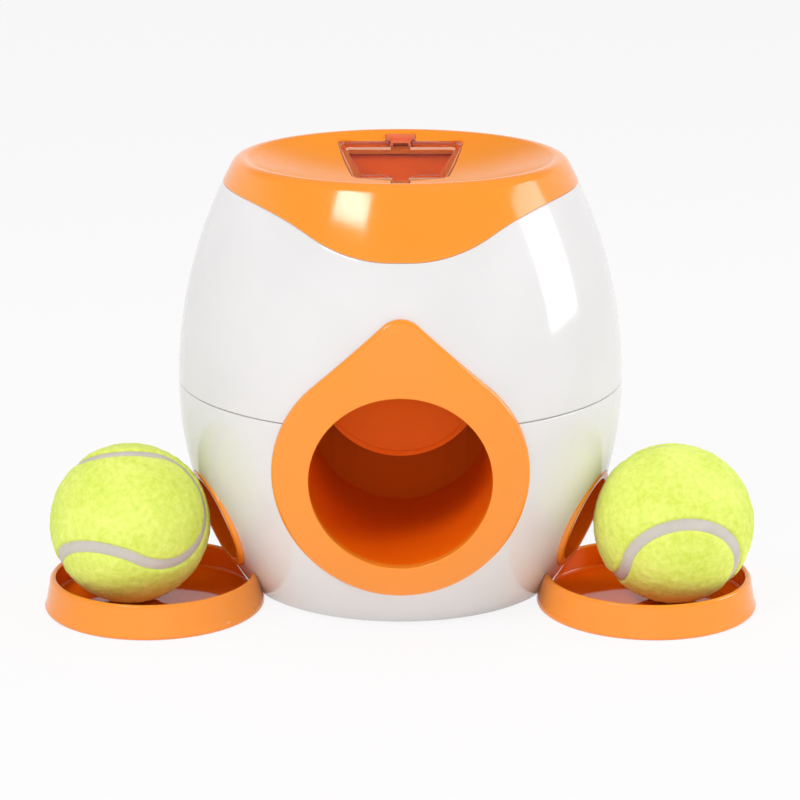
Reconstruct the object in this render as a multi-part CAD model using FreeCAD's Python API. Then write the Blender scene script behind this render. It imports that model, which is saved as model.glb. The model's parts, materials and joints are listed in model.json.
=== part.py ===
"""Fetch-and-treat ball machine: a barrel-shaped toy into which a dog drops a ball.

The ball rolls down the front tube and pushes a hanging paddle. The paddle's gear
sector turns a pocketed drum under the hopper, the drum tips one helping of treats
on to a forked chute, and they slide out of the side spouts into the two dishes.
Everything is in millimetres. Z is up, the tube looks along -Y, and the origin is
on the floor under the middle of the barrel.
"""
import FreeCAD, Part
import math
import os

V = FreeCAD.Vector
X_AXIS, Y_AXIS, Z_AXIS = V(1, 0, 0), V(0, 1, 0), V(0, 0, 1)
BIG = 400.0                      # longer than anything in the model, for cutting tools
over = 1.0                       # a cutting tool starts this far outside what it cuts
same = 0.01                      # points closer than this are taken as one

# ---------------------------------------------------------------- driving sizes
# Barrel: a lower and an upper arc that meet at the belly
belly_r = 91.4
belly_z = 85.0
lower_arc_r = 144.0
upper_arc_r = 187.5
wall = 2.6
foot_proud = 1.0                 # the barrel's bottom edge above the floor
parting_z = 87.2                 # joint between the lower and the upper housing
parting_gap = 0.15
locate_high = 3.0                # ring that centres the upper half in the lower
locate_thick = 1.4
rim_z = 178.0                    # crest of the rolled rim
rim_round = 5.0
dish_floor_z = 165.3
bezel_wall = 2.4

# Wave: the joint between the white upper housing and the orange top, seen from the front
wave_low_z = 150.3
wave_high_z = 168.1
wave_flat = 3.8                  # half length of the level stretch at the middle
wave_reach = 66.8                # where the wave is level again at the sides
wave_low_r = 64.7
wave_gap = 0.15
lip_depth = 4.0                  # tongue of the top that tucks inside the upper housing
lip_thick = 1.5
core_z = 100.0                   # the top's inner parts are trimmed to its outline down to here

# Fits
run_gap = 0.05                   # radial, shaft in bush
slide_gap = 0.3                  # pieces that slide past each other
seat_gap = 0.15                  # pieces that are set in place once
soft_gap = 0.3

# Front surround and ball tube
drop_r = 50.2
drop_z = 66.0
drop_tip_r = 10.0
drop_tip_rise = 54.2             # from the big circle's centre to the tip's centre
surround_proud = 2.0
surround_lip = 4.0               # how far the surround laps over its cut-out
surround_edge_r = 1.2
collar_wall = 2.2
collar_deep = 2.0                # how far the collar reaches in past the barrel's wall
hook_out = 1.3
hook_thick = 1.6
hook_z = (40.0, 98.0)
hook_high = 9.0
bore_r = 35.5
bore_z = 65.1                    # height of the bore's axis at the face
bore_slope = 2.0                 # degrees, rising to the back so the ball rolls out
bore_edge = 0.8
surround_z = (8.0, 150.0)        # heights that the surround lies between
surround_back = 30.0             # its outline is carried back to this far in front of the axis
tube_wall = 2.4
tube_roof_end = -46.0            # behind this the tube is an open trough
trough_top_z = 71.0

# Ball well: the faceted wall that stops the ball
well_y = -1.0
well_wall = 2.4
well_groove = 1.2                # how deep the wall sits in the trough's groove
well_groove_lip = 1.35
well_flat = 18.5                 # half width of the middle facet
well_mid = 27.5
well_mid_back = 2.5              # the second facet's outer edge comes forward by this
well_side = 38.0
well_side_back = 8.0
well_far = 20.0                  # past its side facets the wall leads on by this,
well_far_back = 6.0              # and forward by this
well_neck_z = 2.0                # above the bore's axis by this, its sides stand upright
well_top_z = 94.0
bumper_x = 23.0
bumper_z = 89.0
bumper_r = 3.0
bumper_y = -10.6

# Side spouts and dishes
bearing = 21.5                   # degrees forward of the X axis
spout_r = 21.5
spout_bore_r = 18.0
spout_z = 33.0
spout_sink = 0.7                 # the middle of its face lies this far inside the barrel's skin
spout_flange = 2.5
spout_tilt = 20.0
spout_length = 15.0
spout_collar = 1.4
spout_back = 7.2                 # from the spout's face to the flange behind the wall
tray_base_r = 44.5
tray_rim_r = 41.8
tray_rim_z = 13.7
tray_wall = 2.2
tray_floor = 2.8
tray_foot_round = 1.6
tray_rim_round = 0.99
tray_tuck = 1.4                  # how far the dish reaches in under the barrel's curve
tongue_width = 26.0
tongue_low = 0.8
tongue_thick = 1.8
tongue_long = 24.0               # from the barrel's foot inwards

# Base
base_thick = 2.6
base_flange_w = 11.5
base_flange_thick = 2.0
guide_thick = 2.0
foot_r = 6.0
foot_high = 2.2
foot_round = 0.5
foot_circle = 44.0
foot_angle = 68.0

# Screws
screw_r = 1.5
screw_head_r = 2.8
screw_head_high = 1.4
recess_r = 0.9                   # driver hole in the head
recess_deep = 0.8
screw_sink = 0.1                 # the base screws' heads lie this far inside the base
pilot_r = 1.5
boss_r = 4.0
base_boss_circle = 55.0
base_boss_angle = 50.0
base_boss_top = 20.0
base_screw_long = 12.0
post_circle = 78.0
post_angle_back = 52.0
post_angle_front = 48.0
post_web = 14.0
post_bottom = 46.0
post_screw_long = 26.0
post_screw_deep = 12.0           # from the joint down to the screw's seat
upper_boss_top = 104.0
lug_circle = 64.5
lug_angle = 30.0
lug_z = 142.0
lug_thick = 3.8
lug_w = 10.0
lug_long = 20.0
bezel_screw_long = 12.0
frame_screw_long = 14.0

# Hatch lid: a clear trapezoid flap that lies in the back of the dish
lid_back_y = 51.5
lid_back_z = 174.0
lid_tilt = 12.0                  # degrees, falling to the front
lid_length = 41.0
lid_back_w = 53.5
lid_front_w = 38.0
lid_thick = 2.0
lid_corner = 2.5
lid_ledge = 3.0                  # ledge of the dish that carries the lid
lid_border = 1.0                 # raised border over the panel
lid_border_w = 3.4
ledge_gap = 0.1                  # the lid lies this far above its ledge
pad_deep = 1.0                   # the pad under the ledge hangs this far below the dish's wall
pad_out = 2.0                    # and reaches this far past the ledge
hinge_y = 57.2
hinge_z = 174.6
hinge_r = 2.3
hinge_pin_r = 1.0
hinge_half = 6.0
hinge_neck = 8.4
neck_lap = 5.0                   # how far the neck runs in over the flap
neck_low = 1.8                   # its underside and its top, from the lid's back edge
neck_high = 0.9
cheek_w = 3.0                    # cheeks beside the hinge: width, and reach from the axis
cheek_front = 3.5
cheek_back = 4.2
cheek_deep = 5.5
notch_gap = 0.4
pin_bite = 1.8                   # how far the hinge pin goes into each cheek
tab_w = 7.0
tab_long = 7.0
tab_pad_side = 3.0               # pad round the finger slot: at its sides, in front, and above
tab_pad_front = 2.5
tab_pad_high = 2.0
latch_thick = 1.6
latch_w = 10.0
latch_gap = 0.8
latch_deep = 7.0

# Mechanism
axle_y = -24.0
axle_z = 118.0
axle_r = 2.0
gear_module = 1.5
sector_count = 42
pinion_count = 14
pressure_angle = 20.0
sector_teeth = (-4, 1)           # first and last tooth of the sector
sector_addendum = 1.4
pinion_addendum = 1.5
dedendum = 1.875
backlash = 0.2
gear_thick = 6.0
gear_x = 26.6
tooth_root = 0.4                 # how far a tooth runs into its rim
sector_margin = 0.75             # rim past the end teeth, in pitches
sector_hub = 2.5                 # the sector's hub is thicker than the paddle's by this
web_foot = 2.0                   # the web meets the hub this far out from the paddle's hub
web_spread = 20.0                # degrees, the web's foot past its rim
window_r = 14.0                  # window in the web: inner radius, and its margins
window_rim = 4.0
window_low_lean = 12.0
window_high_lean = 6.0
plate_x = 23.0                   # inner face of the mechanism's side plates
plate_thick = 2.4
plate_front_y = -36.0
plate_back_y = 44.0
plate_low_z = 110.0              # underside below the paddle's axle
plate_tail_z = 112.0             # lower corner at the back
plate_tail = 10.0                # bevel from there to below the drum
plate_drum_y = 2.0               # where the part below the drum begins
plate_step_y = -12.0             # and where it has risen to the part below the paddle's axle
plate_nose = (2.0, 3.0)          # bevel of the lower front corner
plate_over_drum = 1.0            # the drum hangs lower than the plate by this
bush_r = 3.6
bush_flange_r = 5.0
bush_flange = 1.0
paddle_r = 34.5
paddle_low_z = 58.9
paddle_thick = 2.0
paddle_dish = 4.0
paddle_rim = 2.0
paddle_front = -2.6              # the paddle's rim plane, from the axle's centre line
paddle_neck_half = 18.5
paddle_shoulder_z = 97.0
paddle_neck_z = 106.0
hub_r = 5.0
hub_half = 21.6
ear_lap = 4.0                    # the paddle's ears start this far above its shoulders
ear_gap_half = 9.0               # half the gap between them
drum_r = 15.0
drum_half = 21.0
pocket_r = 8.5
pocket_rise = 11.5
pocket_half = 17.0
pocket_round = 2.0
pocket_lead = 12.0               # degrees, the pocket leans back at rest
shroud_gap = 0.8
shroud_wall = 2.0
throat_front = -28.0             # degrees from straight up, towards the back
throat_back = 48.0
outfall_low = 150.0
throat_wall = 1.6
guide_low = 10.0                 # the throat's walls start this far above the drum's axis
shelf_thick = 2.0
shelf_lap = 1.0                  # how far the walls run up into the shelf
outfall_high = 62.0
tie_y = -22.6                    # front of the frame's cross tie, which the spring leans on
tie_z = 124.5
tie_thick = 2.4
spring_wire = 0.6
spring_r = 4.6
spring_turns = 4
spring_pitch = 1.4
spring_x = -20.6
spring_leg_up = 14.0
spring_leg_down = 15.0
hub_left = 13.2                  # the hub stops short on the left to leave room for the spring
axle_over = 3.0
clip_r = 4.2
clip_thick = 0.8

# Hopper
hopper_wall = 1.8
hopper_top_half = 26.5
hopper_top_y0 = 16.5
hopper_top_y1 = 57.5
hopper_low_half = 18.0
hopper_low_y0 = 7.6
hopper_low_y1 = 30.0
hopper_low_z = 139.0
hopper_flange = 2.0
hopper_flange_out = 5.0
hopper_clear = 12.0              # it is trimmed under the lid's pad out to this far past the ledge
frame_top_z = 136.6

frame_boss_x = 34.5
frame_boss_front = -27.0
frame_boss_back = 36.0
frame_lug_thick = 2.6
frame_lug_edge = 1.0

# Treat chute
chute_apex_z = 97.0
chute_end_x = 64.0
chute_end_z = 22.0
chute_wall = 1.8
chute_side = 15.0                # height of its side walls
chute_front_y = 5.0
chute_back_y = 48.0
chute_in_x = 42.5                # where it passes beside the ball tube
chute_turn_x = 26.0              # where the outer wall starts to lead forward
chute_leg_x = 22.0
chute_leg_y = 30.0
leg_lap = 0.5                    # gap kept above a leg's top
chute_bend_y = -14.0             # where its inner wall starts to lead out to the spout
chute_mouth_in = (56.0, -44.0)   # corners of its mouth and of its outer wall
chute_mouth_out = (78.0, -36.0)
chute_heel = (76.0, -12.0)
chute_elbow = (63.0, -10.0)
chute_far = 90.0
chute_top_z = 130.0
chute_clear = 2.2                # clear of the barrel's wall

# Balls
ball_r = 32.5
felt_thick = 3.0
core_wall = 3.3
seam_r = 1.95                    # radius of the seam's bead
seam_sink = 0.85                 # the bead's middle lies this far under the ball's surface
seam_lift = 8.0                  # degrees, how far the seam's four arcs are swung
ball_turns = {-1: (0.6324, 1.9565, 0.9095), 1: (0.7008, -0.3059, 1.6408)}
ball_out = 9.5                   # the ball lies this far outwards of the dish's middle

# ---------------------------------------------------------------- worked-out sizes
tan = lambda degrees: math.tan(math.radians(degrees))
cos = lambda degrees: math.cos(math.radians(degrees))
sin = lambda degrees: math.sin(math.radians(degrees))

base_top_z = foot_proud + base_thick
tongue_top_z = tongue_low + tongue_thick
centre_distance = gear_module * (sector_count + pinion_count) / 2.0
drum_y = axle_y + centre_distance
drum_z = axle_z
paddle_centre_z = paddle_low_z + paddle_r
ball_z = tray_floor + soft_gap + ball_r
shroud_in = drum_r + shroud_gap
shroud_out = shroud_in + shroud_wall
screw_seat_z = foot_proud + screw_head_high + screw_sink
pad_low = -lid_thick - bezel_wall - pad_deep
tab_half = tab_w / 2 + notch_gap
tab_end = lid_length + tab_long + notch_gap
lug_top = lug_z + lug_thick + seat_gap


# ---------------------------------------------------------------- small helpers
def box(x0, x1, y0, y1, z0, z1):
    """A block between two corners."""
    return Part.makeBox(x1 - x0, y1 - y0, z1 - z0, V(x0, y0, z0))


def rod(r, start, end):
    """A round bar from one point to another."""
    way = end - start
    return Part.makeCylinder(r, way.Length, start, way)


def pipe(outer, inner, start, end):
    """A round bar with a bore."""
    return rod(outer, start, end).cut(rod(inner, start, end))


def join(shapes):
    """One solid from several that touch or overlap."""
    whole = shapes[0]
    if len(shapes) > 1:
        whole = whole.multiFuse(shapes[1:])
    return whole.removeSplitter()


def prism(points, along):
    """A straight-sided block on a closed outline."""
    return Part.Face(Part.makePolygon(points + [points[0]])).extrude(along)


def turned(shape, centre, axis, degrees):
    """A copy turned about an axis."""
    copy = shape.copy()
    copy.rotate(centre, axis, degrees)
    return copy


def mirrored(shape):
    """The left-hand copy of a right-hand shape."""
    return shape.mirror(V(0, 0, 0), X_AXIS)


def ring_point(radius, degrees, z=0.0):
    """A point at a radius and an angle from +X."""
    return V(radius * cos(degrees), radius * sin(degrees), z)


def unit(vector):
    """The same direction, one long."""
    copy = V(vector)
    copy.normalize()
    return copy


def arc(start, middle, end):
    """An arc edge through three points."""
    return Part.Arc(start, middle, end).toShape()


def line(start, end):
    """A straight edge."""
    return Part.LineSegment(start, end).toShape()


# ---------------------------------------------------------------- barrel and top
def barrel_r(z, offset=0.0):
    """Radius of the barrel's skin at a height, moved outwards by an offset."""
    bend = upper_arc_r if z > belly_z else lower_arc_r
    return belly_r - bend + math.sqrt((bend + offset) ** 2 - (z - belly_z) ** 2)


def skin_edges(z0, z1, offset):
    """The barrel's outline from z0 up to z1, in the XZ plane."""
    stops = [z0, belly_z, z1] if z0 < belly_z < z1 else [z0, z1]
    edges = []
    for low, high in zip(stops, stops[1:]):
        lean = same / 10.0           # keeps the arcs off the belly's corner
        middle = (low + high) / 2.0
        start = V(barrel_r(low + (lean if low >= belly_z else 0), offset), 0, low)
        end = V(barrel_r(high - (lean if high <= belly_z else 0), offset), 0, high)
        edges.append(arc(start, V(barrel_r(middle, offset), 0, middle), end))
    return edges


def barrel(z0, z1, offset=0.0):
    """The barrel as a full solid between two heights."""
    side = skin_edges(z0, z1, offset)
    low, high = side[0].firstVertex().Point, side[-1].lastVertex().Point
    loop = [line(V(0, 0, z0), low)] + side
    loop += [line(high, V(0, 0, z1)), line(V(0, 0, z1), V(0, 0, z0))]
    return Part.Face(Part.Wire(loop)).revolve(V(0, 0, 0), Z_AXIS, 360)


def shell(z0, z1, outer, inner):
    """The barrel's wall between two offsets."""
    return barrel(z0, z1, outer).cut(barrel(z0, z1, inner))


def envelope(z0, offset=0.0):
    """The barrel with its rolled rim and its dished top, as a full solid."""
    swell = V(belly_r - upper_arc_r, 0, belly_z)
    roll_z = rim_z - rim_round
    crest = swell.x + math.sqrt((upper_arc_r - rim_round) ** 2 - (roll_z - belly_z) ** 2)
    roll = V(crest, 0, roll_z)
    fall = roll_z - dish_floor_z
    dish_r = (crest ** 2 + fall ** 2 - rim_round ** 2) / (2.0 * (fall + rim_round))
    hollow = V(0, 0, dish_floor_z + dish_r)
    out_way, in_way = unit(roll - swell), unit(hollow - roll)
    outside = swell + out_way * (upper_arc_r + offset)
    inside = roll + in_way * (rim_round + offset)
    top = roll + unit(out_way + in_way) * (rim_round + offset)
    bottom = V(0, 0, dish_floor_z + offset)
    bowl = hollow + unit(unit(inside - hollow) + unit(bottom - hollow)) * (dish_r - offset)
    side = skin_edges(z0, outside.z, offset)
    low = side[0].firstVertex().Point
    loop = [line(V(0, 0, z0), low)] + side + [arc(side[-1].lastVertex().Point, top, inside)]
    loop += [arc(inside, bowl, bottom), line(bottom, V(0, 0, z0))]
    return Part.Face(Part.Wire(Part.__sortEdges__(loop))).revolve(V(0, 0, 0), Z_AXIS, 360)


def above_wave(lift=0.0):
    """All space above the wavy joint, which is level round the back."""
    rise = wave_high_z - wave_low_z
    swing = math.degrees(2.0 * math.atan(rise / (wave_reach - wave_flat)))
    high_r = (wave_reach - wave_flat) / sin(swing) - wave_low_r
    low, high = wave_low_z + lift, wave_high_z + lift
    right = []
    for side in (1, -1):
        at = lambda x, z: V(side * x, -BIG, z)
        low_mid = at(wave_flat + wave_low_r * sin(swing / 2), low + wave_low_r * (1 - cos(swing / 2)))
        turn = at(wave_flat + wave_low_r * sin(swing), low + wave_low_r * (1 - cos(swing)))
        high_mid = at(wave_reach - high_r * sin(swing / 2), high - high_r * (1 - cos(swing / 2)))
        start, end = at(wave_flat, low), at(wave_reach, high)
        right += [arc(start, low_mid, turn), arc(turn, high_mid, end), line(end, at(BIG, high))]
        right.append(line(at(BIG, high), at(BIG, BIG)))
    right.append(line(V(-wave_flat, -BIG, low), V(wave_flat, -BIG, low)))
    right.append(line(V(-BIG, -BIG, BIG), V(BIG, -BIG, BIG)))
    front = Part.Face(Part.Wire(Part.__sortEdges__(right))).extrude(V(0, BIG, 0))
    return front.fuse(box(-BIG, BIG, 0, BIG, high, BIG)).removeSplitter()


def teardrop(offset=0.0):
    """The surround's outline as a prism through the front wall."""
    lean = math.degrees(math.asin((drop_r - drop_tip_r) / drop_tip_rise))
    centre, tip = V(0, -BIG, drop_z), V(0, -BIG, drop_z + drop_tip_rise)
    right, left = V(cos(lean), 0, sin(lean)), V(-cos(lean), 0, sin(lean))
    big, small = drop_r + offset, drop_tip_r + offset
    loop = [
        arc(centre + right * big, centre - Z_AXIS * big, centre + left * big),
        line(centre + left * big, tip + left * small),
        arc(tip + left * small, tip + Z_AXIS * small, tip + right * small),
        line(tip + right * small, centre + right * big),
    ]
    return Part.Face(Part.Wire(loop)).extrude(V(0, BIG - surround_back, 0))


def post_point(index, z):
    """Axis of one of the four posts that join the two housings."""
    angles = post_angle_back, 180 - post_angle_back, 180 + post_angle_front, -post_angle_front
    return ring_point(post_circle, angles[index], z)


def base_boss_point(index, z):
    """Axis of one of the four bosses that hold the base plate."""
    angle = (base_boss_angle, 180 - base_boss_angle, 180 + base_boss_angle, -base_boss_angle)[index]
    return ring_point(base_boss_circle, angle, z)


def foot_point(index, z):
    """Axis of one of the four rubber feet."""
    angle = (foot_angle, 180 - foot_angle, 180 + foot_angle, -foot_angle)[index]
    return ring_point(foot_circle, angle, z)


def lug_point(index, z):
    """Axis of one of the four screws that hold the top down."""
    angle = (lug_angle, 180 - lug_angle, 180 + lug_angle, -lug_angle)[index]
    return ring_point(lug_circle, angle, z)


def chute_leg_point(side, z):
    """Axis of one of the chute's two legs."""
    return V(side * chute_leg_x, chute_leg_y, z)


def frame_boss_points(z):
    """Axes of the four bosses that the mechanism hangs from."""
    return [V(x, y, z) for x in (-frame_boss_x, frame_boss_x) for y in (frame_boss_front, frame_boss_back)]


def post(axis_point, low, high, web_low, web_high):
    """A round post with a web that reaches out to the wall."""
    out = unit(V(axis_point.x, axis_point.y, 0))
    across = V(-out.y, out.x, 0)
    foot, web_foot = V(axis_point.x, axis_point.y, low), V(axis_point.x, axis_point.y, web_low)
    corners = [web_foot - across, web_foot + across, web_foot + out * post_web + across,
               web_foot + out * post_web - across]
    return join([rod(boss_r, foot, foot + V(0, 0, high - low)), prism(corners, V(0, 0, web_high - web_low))])


tray_reach = barrel_r(foot_proud) + tray_base_r - tray_tuck


# ---------------------------------------------------------------- side spouts and dishes (right hand)
def spout_axis():
    """Middle of the right spout's face, and the direction it looks."""
    face = ring_point(barrel_r(spout_z) - spout_sink, -bearing, spout_z)
    way = V(cos(bearing) * cos(spout_tilt), -sin(bearing) * cos(spout_tilt), -sin(spout_tilt))
    return face, way


def spout():
    """Round spout with a flat face, a bore, and a flange inside the wall."""
    face, way = spout_axis()
    body = rod(spout_r, face - way * spout_length, face)
    body = body.makeFillet(surround_edge_r, [e for e in body.Edges if (e.CenterOfMass - face).Length < same])
    flange = rod(spout_r + spout_flange, face - way * (spout_back + spout_collar), face - way * spout_back)
    return join([body, flange]).cut(rod(spout_bore_r, face - way * BIG, face + way * over))


def spout_hole():
    """The hole that the spout sits in."""
    face, way = spout_axis()
    return rod(spout_r + seat_gap, face - way * spout_length, face + way * spout_length)


def tray_frame(shape):
    """Turn a shape that was built along +X to the right dish's bearing."""
    return turned(shape, V(0, 0, 0), Z_AXIS, -bearing)


def tray():
    """Round dish with a wall that leans in, cut to the barrel, and a tongue under the base."""
    middle = V(tray_reach, 0, 0)
    outer = Part.makeCone(tray_base_r, tray_rim_r, tray_rim_z, middle)
    outer = outer.makeFillet(tray_foot_round, [e for e in outer.Edges if e.BoundBox.ZMax < same])
    lean = (tray_base_r - tray_rim_r) / tray_rim_z
    inner = Part.makeCone(tray_base_r - tray_wall - lean * tray_floor, tray_rim_r - tray_wall,
                          tray_rim_z - tray_floor, middle + V(0, 0, tray_floor))
    dish = outer.cut(inner)
    rim = [e for e in dish.Edges if abs(e.BoundBox.ZMin - tray_rim_z) < same]
    dish = dish.makeFillet(tray_rim_round, rim)
    dish = dish.cut(barrel(foot_proud - slide_gap, parting_z, slide_gap))
    foot_edge = barrel_r(foot_proud)
    dish = dish.cut(rod(foot_edge + slide_gap, V(0, 0, -over), V(0, 0, foot_proud)))
    tongue = box(foot_edge - tongue_long, foot_edge + tray_tuck + tray_foot_round * 2, -tongue_width / 2,
                 tongue_width / 2, tongue_low, tongue_top_z)
    return tray_frame(join([dish, tongue]))


def tongue_room(grow, high):
    """Space for the dish's tongue under the barrel's foot."""
    reach = tongue_width / 2 + slide_gap + grow
    start = barrel_r(foot_proud) - tongue_long - slide_gap - grow
    return tray_frame(box(start, belly_r, -reach, reach, 0, high))


# ---------------------------------------------------------------- housings
def lower_housing():
    """White lower half of the barrel."""
    top = parting_z - parting_gap
    cavity = barrel(foot_proud, top, -wall / 2)
    flange_z = base_top_z + seat_gap
    flange_in = barrel_r(foot_proud) - wall - base_flange_w
    ring = pipe(belly_r, flange_in, V(0, 0, flange_z), V(0, 0, flange_z + base_flange_thick)).common(cavity)
    parts = [shell(foot_proud, top, 0, -wall), ring]
    for i in range(4):
        parts.append(rod(boss_r, base_boss_point(i, flange_z), base_boss_point(i, base_boss_top)))
        web_top = parting_z - locate_high - slide_gap
        parts.append(post(post_point(i, 0), post_bottom, top, post_bottom, web_top).common(cavity))
    housing = join(parts)
    for i in range(4):
        seat = parting_z - post_screw_deep
        housing = housing.cut(rod(pilot_r, base_boss_point(i, 0), base_boss_point(i, base_boss_top - wall)))
        housing = housing.cut(rod(screw_r + seat_gap, post_point(i, 0), post_point(i, BIG)))
        housing = housing.cut(rod(screw_head_r + seat_gap, post_point(i, 0), post_point(i, seat)))
    slot = tongue_room(0, tongue_top_z + slide_gap)
    hat = tongue_room(guide_thick + slide_gap, tongue_top_z + 2 * slide_gap + guide_thick)
    hat = hat.common(rod(barrel_r(foot_proud) - wall / 2, V(0, 0, 0), V(0, 0, BIG)))
    housing = housing.cut(teardrop(-surround_lip))
    for tool in (spout_hole(), slot, hat):
        housing = housing.cut(tool).cut(mirrored(tool))
    return housing


def upper_housing():
    """White upper half of the barrel, up to the wave."""
    top = wave_high_z + over
    inside = -wall - seat_gap
    locate = shell(parting_z - locate_high, parting_z + locate_high, inside, inside - locate_thick)
    neck = shell(parting_z, parting_z + locate_high, -wall / 2, inside - locate_thick / 2)
    parts = [shell(parting_z, top, 0, -wall), locate, neck]
    cavity = barrel(parting_z, top, -wall / 2)
    for i in range(4):
        pillar = post(post_point(i, 0), parting_z, upper_boss_top, parting_z, upper_boss_top)
        parts.append(pillar.common(cavity))
        spot = lug_point(i, lug_z)
        out, up = unit(lug_point(i, 0)), V(0, 0, lug_thick)
        across = V(-out.y, out.x, 0) * (lug_w / 2)
        end = spot + out * lug_long
        lug = prism([spot - across, spot + across, end + across, end - across], up)
        parts.append(join([rod(lug_w / 2, spot, spot + up), lug]).common(cavity))
    housing = join(parts)
    for i in range(4):
        housing = housing.cut(rod(pilot_r, post_point(i, 0), post_point(i, upper_boss_top - wall)))
        room = rod(boss_r + slide_gap, post_point(i, 0), post_point(i, parting_z - parting_gap))
        housing = housing.cut(room)
        hole = rod(screw_r + seat_gap, lug_point(i, lug_z - over), lug_point(i, lug_z + lug_thick + over))
        housing = housing.cut(hole)
    return housing.cut(teardrop(-surround_lip)).cut(above_wave(-wave_gap))


def screw(start, way, length):
    """Pan-head screw: the head's underside is at start, and the shank runs along way."""
    crown = start - way * screw_head_high
    head = rod(screw_head_r, crown, start)
    edge = [e for e in head.Edges if (e.CenterOfMass - crown).Length < same]
    head = head.makeFillet(screw_head_high / 3, edge)
    recess = rod(recess_r, crown - way * over, crown + way * recess_deep)
    return join([head, rod(pilot_r, start, start + way * length)]).cut(recess)


def base_plate():
    """Round floor plate with two raised covers over the dishes' tongues."""
    radius = barrel_r(foot_proud, -wall) - slide_gap
    plate = rod(radius, V(0, 0, foot_proud), V(0, 0, base_top_z))
    cover = tongue_room(guide_thick, tongue_top_z + slide_gap + guide_thick)
    cover = cover.common(rod(radius, V(0, 0, foot_proud), V(0, 0, BIG)))
    room = tongue_room(0, tongue_top_z + slide_gap)
    plate = join([plate, cover, mirrored(cover)]).cut(room).cut(mirrored(room))
    spots = [base_boss_point(i, 0) for i in range(4)] + [chute_leg_point(side, 0) for side in (1, -1)]
    for spot in spots:
        plate = plate.cut(rod(screw_r + seat_gap, spot, spot + V(0, 0, BIG)))
        plate = plate.cut(rod(screw_head_r + seat_gap, spot, spot + V(0, 0, screw_seat_z)))
    for i in range(4):
        plate = plate.cut(rod(foot_r, foot_point(i, 0), foot_point(i, foot_high)))
    return plate


def rubber_feet():
    """Four rubber pads set in the base plate."""
    pads = [rod(foot_r - seat_gap, foot_point(i, 0), foot_point(i, foot_high)) for i in range(4)]
    return [pad.makeFillet(foot_round, [e for e in pad.Edges if e.BoundBox.ZMax < same]) for pad in pads]


def base_screws():
    """Screws through the base plate, up into the barrel's bosses and the chute's legs."""
    spots = [base_boss_point(i, screw_seat_z) for i in range(4)]
    spots += [chute_leg_point(side, screw_seat_z) for side in (1, -1)]
    return [screw(spot, Z_AXIS, base_screw_long) for spot in spots]


def housing_screws():
    """Screws up the four posts, which pull the two halves of the barrel together."""
    return [screw(post_point(i, parting_z - post_screw_deep), Z_AXIS, post_screw_long) for i in range(4)]


def bezel_screws():
    """Screws up through the upper housing's lugs into the top."""
    return [screw(lug_point(i, lug_z), Z_AXIS, bezel_screw_long) for i in range(4)]


# ---------------------------------------------------------------- top
def lid_local(x, along, up=0.0):
    """A point on the lid: across, forward from its back edge, and up from its top face."""
    forward = V(0, -cos(lid_tilt), -sin(lid_tilt))
    normal = V(0, -sin(lid_tilt), cos(lid_tilt))
    return V(x, lid_back_y, lid_back_z) + forward * along + normal * up


def lid_prism(grow, top, bottom):
    """The lid's trapezoid as a block square to its face."""
    back, front = lid_back_w / 2 + grow, lid_front_w / 2 + grow
    start, end = -grow, lid_length + grow
    corners = [(-back, start), (back, start), (front, end), (-front, end)]
    rise = lid_local(0, 0, top) - lid_local(0, 0, bottom)
    block = prism([lid_local(x, a, bottom) for x, a in corners], rise)
    normal = unit(lid_local(0, 0, 1) - lid_local(0, 0, 0))
    upright = [e for e in block.Edges if abs(abs(unit(e.tangentAt(e.FirstParameter)).dot(normal)) - 1) < 1e-6]
    return block.makeFillet(lid_corner + max(grow, -lid_corner / 2), upright)


def hinge_point(x, y_shift=0.0, z_shift=0.0):
    """A point on the lid's hinge axis."""
    return V(x, hinge_y + y_shift, hinge_z + z_shift)


def lid_block(half, start, end, low, high):
    """A block square to the lid, between two distances forward of its back edge."""
    corners = [lid_local(x, a, low) for x, a in ((-half, start), (half, start), (half, end), (-half, end))]
    return prism(corners, lid_local(0, 0, high) - lid_local(0, 0, low))


def top_skin():
    """The thin orange top: rolled rim, dish, and wavy skirt."""
    low = wave_low_z - lip_depth - 2 * over
    whole = envelope(low).cut(envelope(low, -bezel_wall))
    dish = rod(wave_reach - lip_depth, V(0, 0, low), V(0, 0, rim_z))
    skin = whole.common(above_wave(wave_gap).fuse(dish).removeSplitter())
    deep = -wall - seat_gap
    high = wave_high_z + lip_depth
    lip = shell(low, high, deep, deep - lip_thick).common(above_wave(-lip_depth))
    root = shell(low, high, -wall / 2, deep - lip_thick).common(above_wave(wave_gap))
    return join([skin, lip.cut(above_wave(lip_depth)), root.cut(above_wave(lip_depth))])


def top_pads(under):
    """What stands under the dish: the lid's ledge, the slot's pad, the hinge cheeks and the screw bosses."""
    notch_half = hinge_half + notch_gap
    ledge = lid_prism(lid_ledge + pad_out, 0.0, pad_low)
    slot = lid_block(tab_half + tab_pad_side, lid_length, tab_end + tab_pad_front, pad_low, tab_pad_high)
    cheeks = box(-notch_half - cheek_w, notch_half + cheek_w, hinge_y - cheek_front, hinge_y + cheek_back,
                 hinge_z - cheek_deep, rim_z)
    bosses = [rod(boss_r, p, p + V(0, 0, BIG)) for p in frame_boss_points(frame_top_z + seat_gap)]
    bosses += [rod(boss_r, lug_point(i, lug_top), lug_point(i, BIG)) for i in range(4)]
    return [pad.common(under) for pad in [ledge, slot, cheeks] + bosses]


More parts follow.
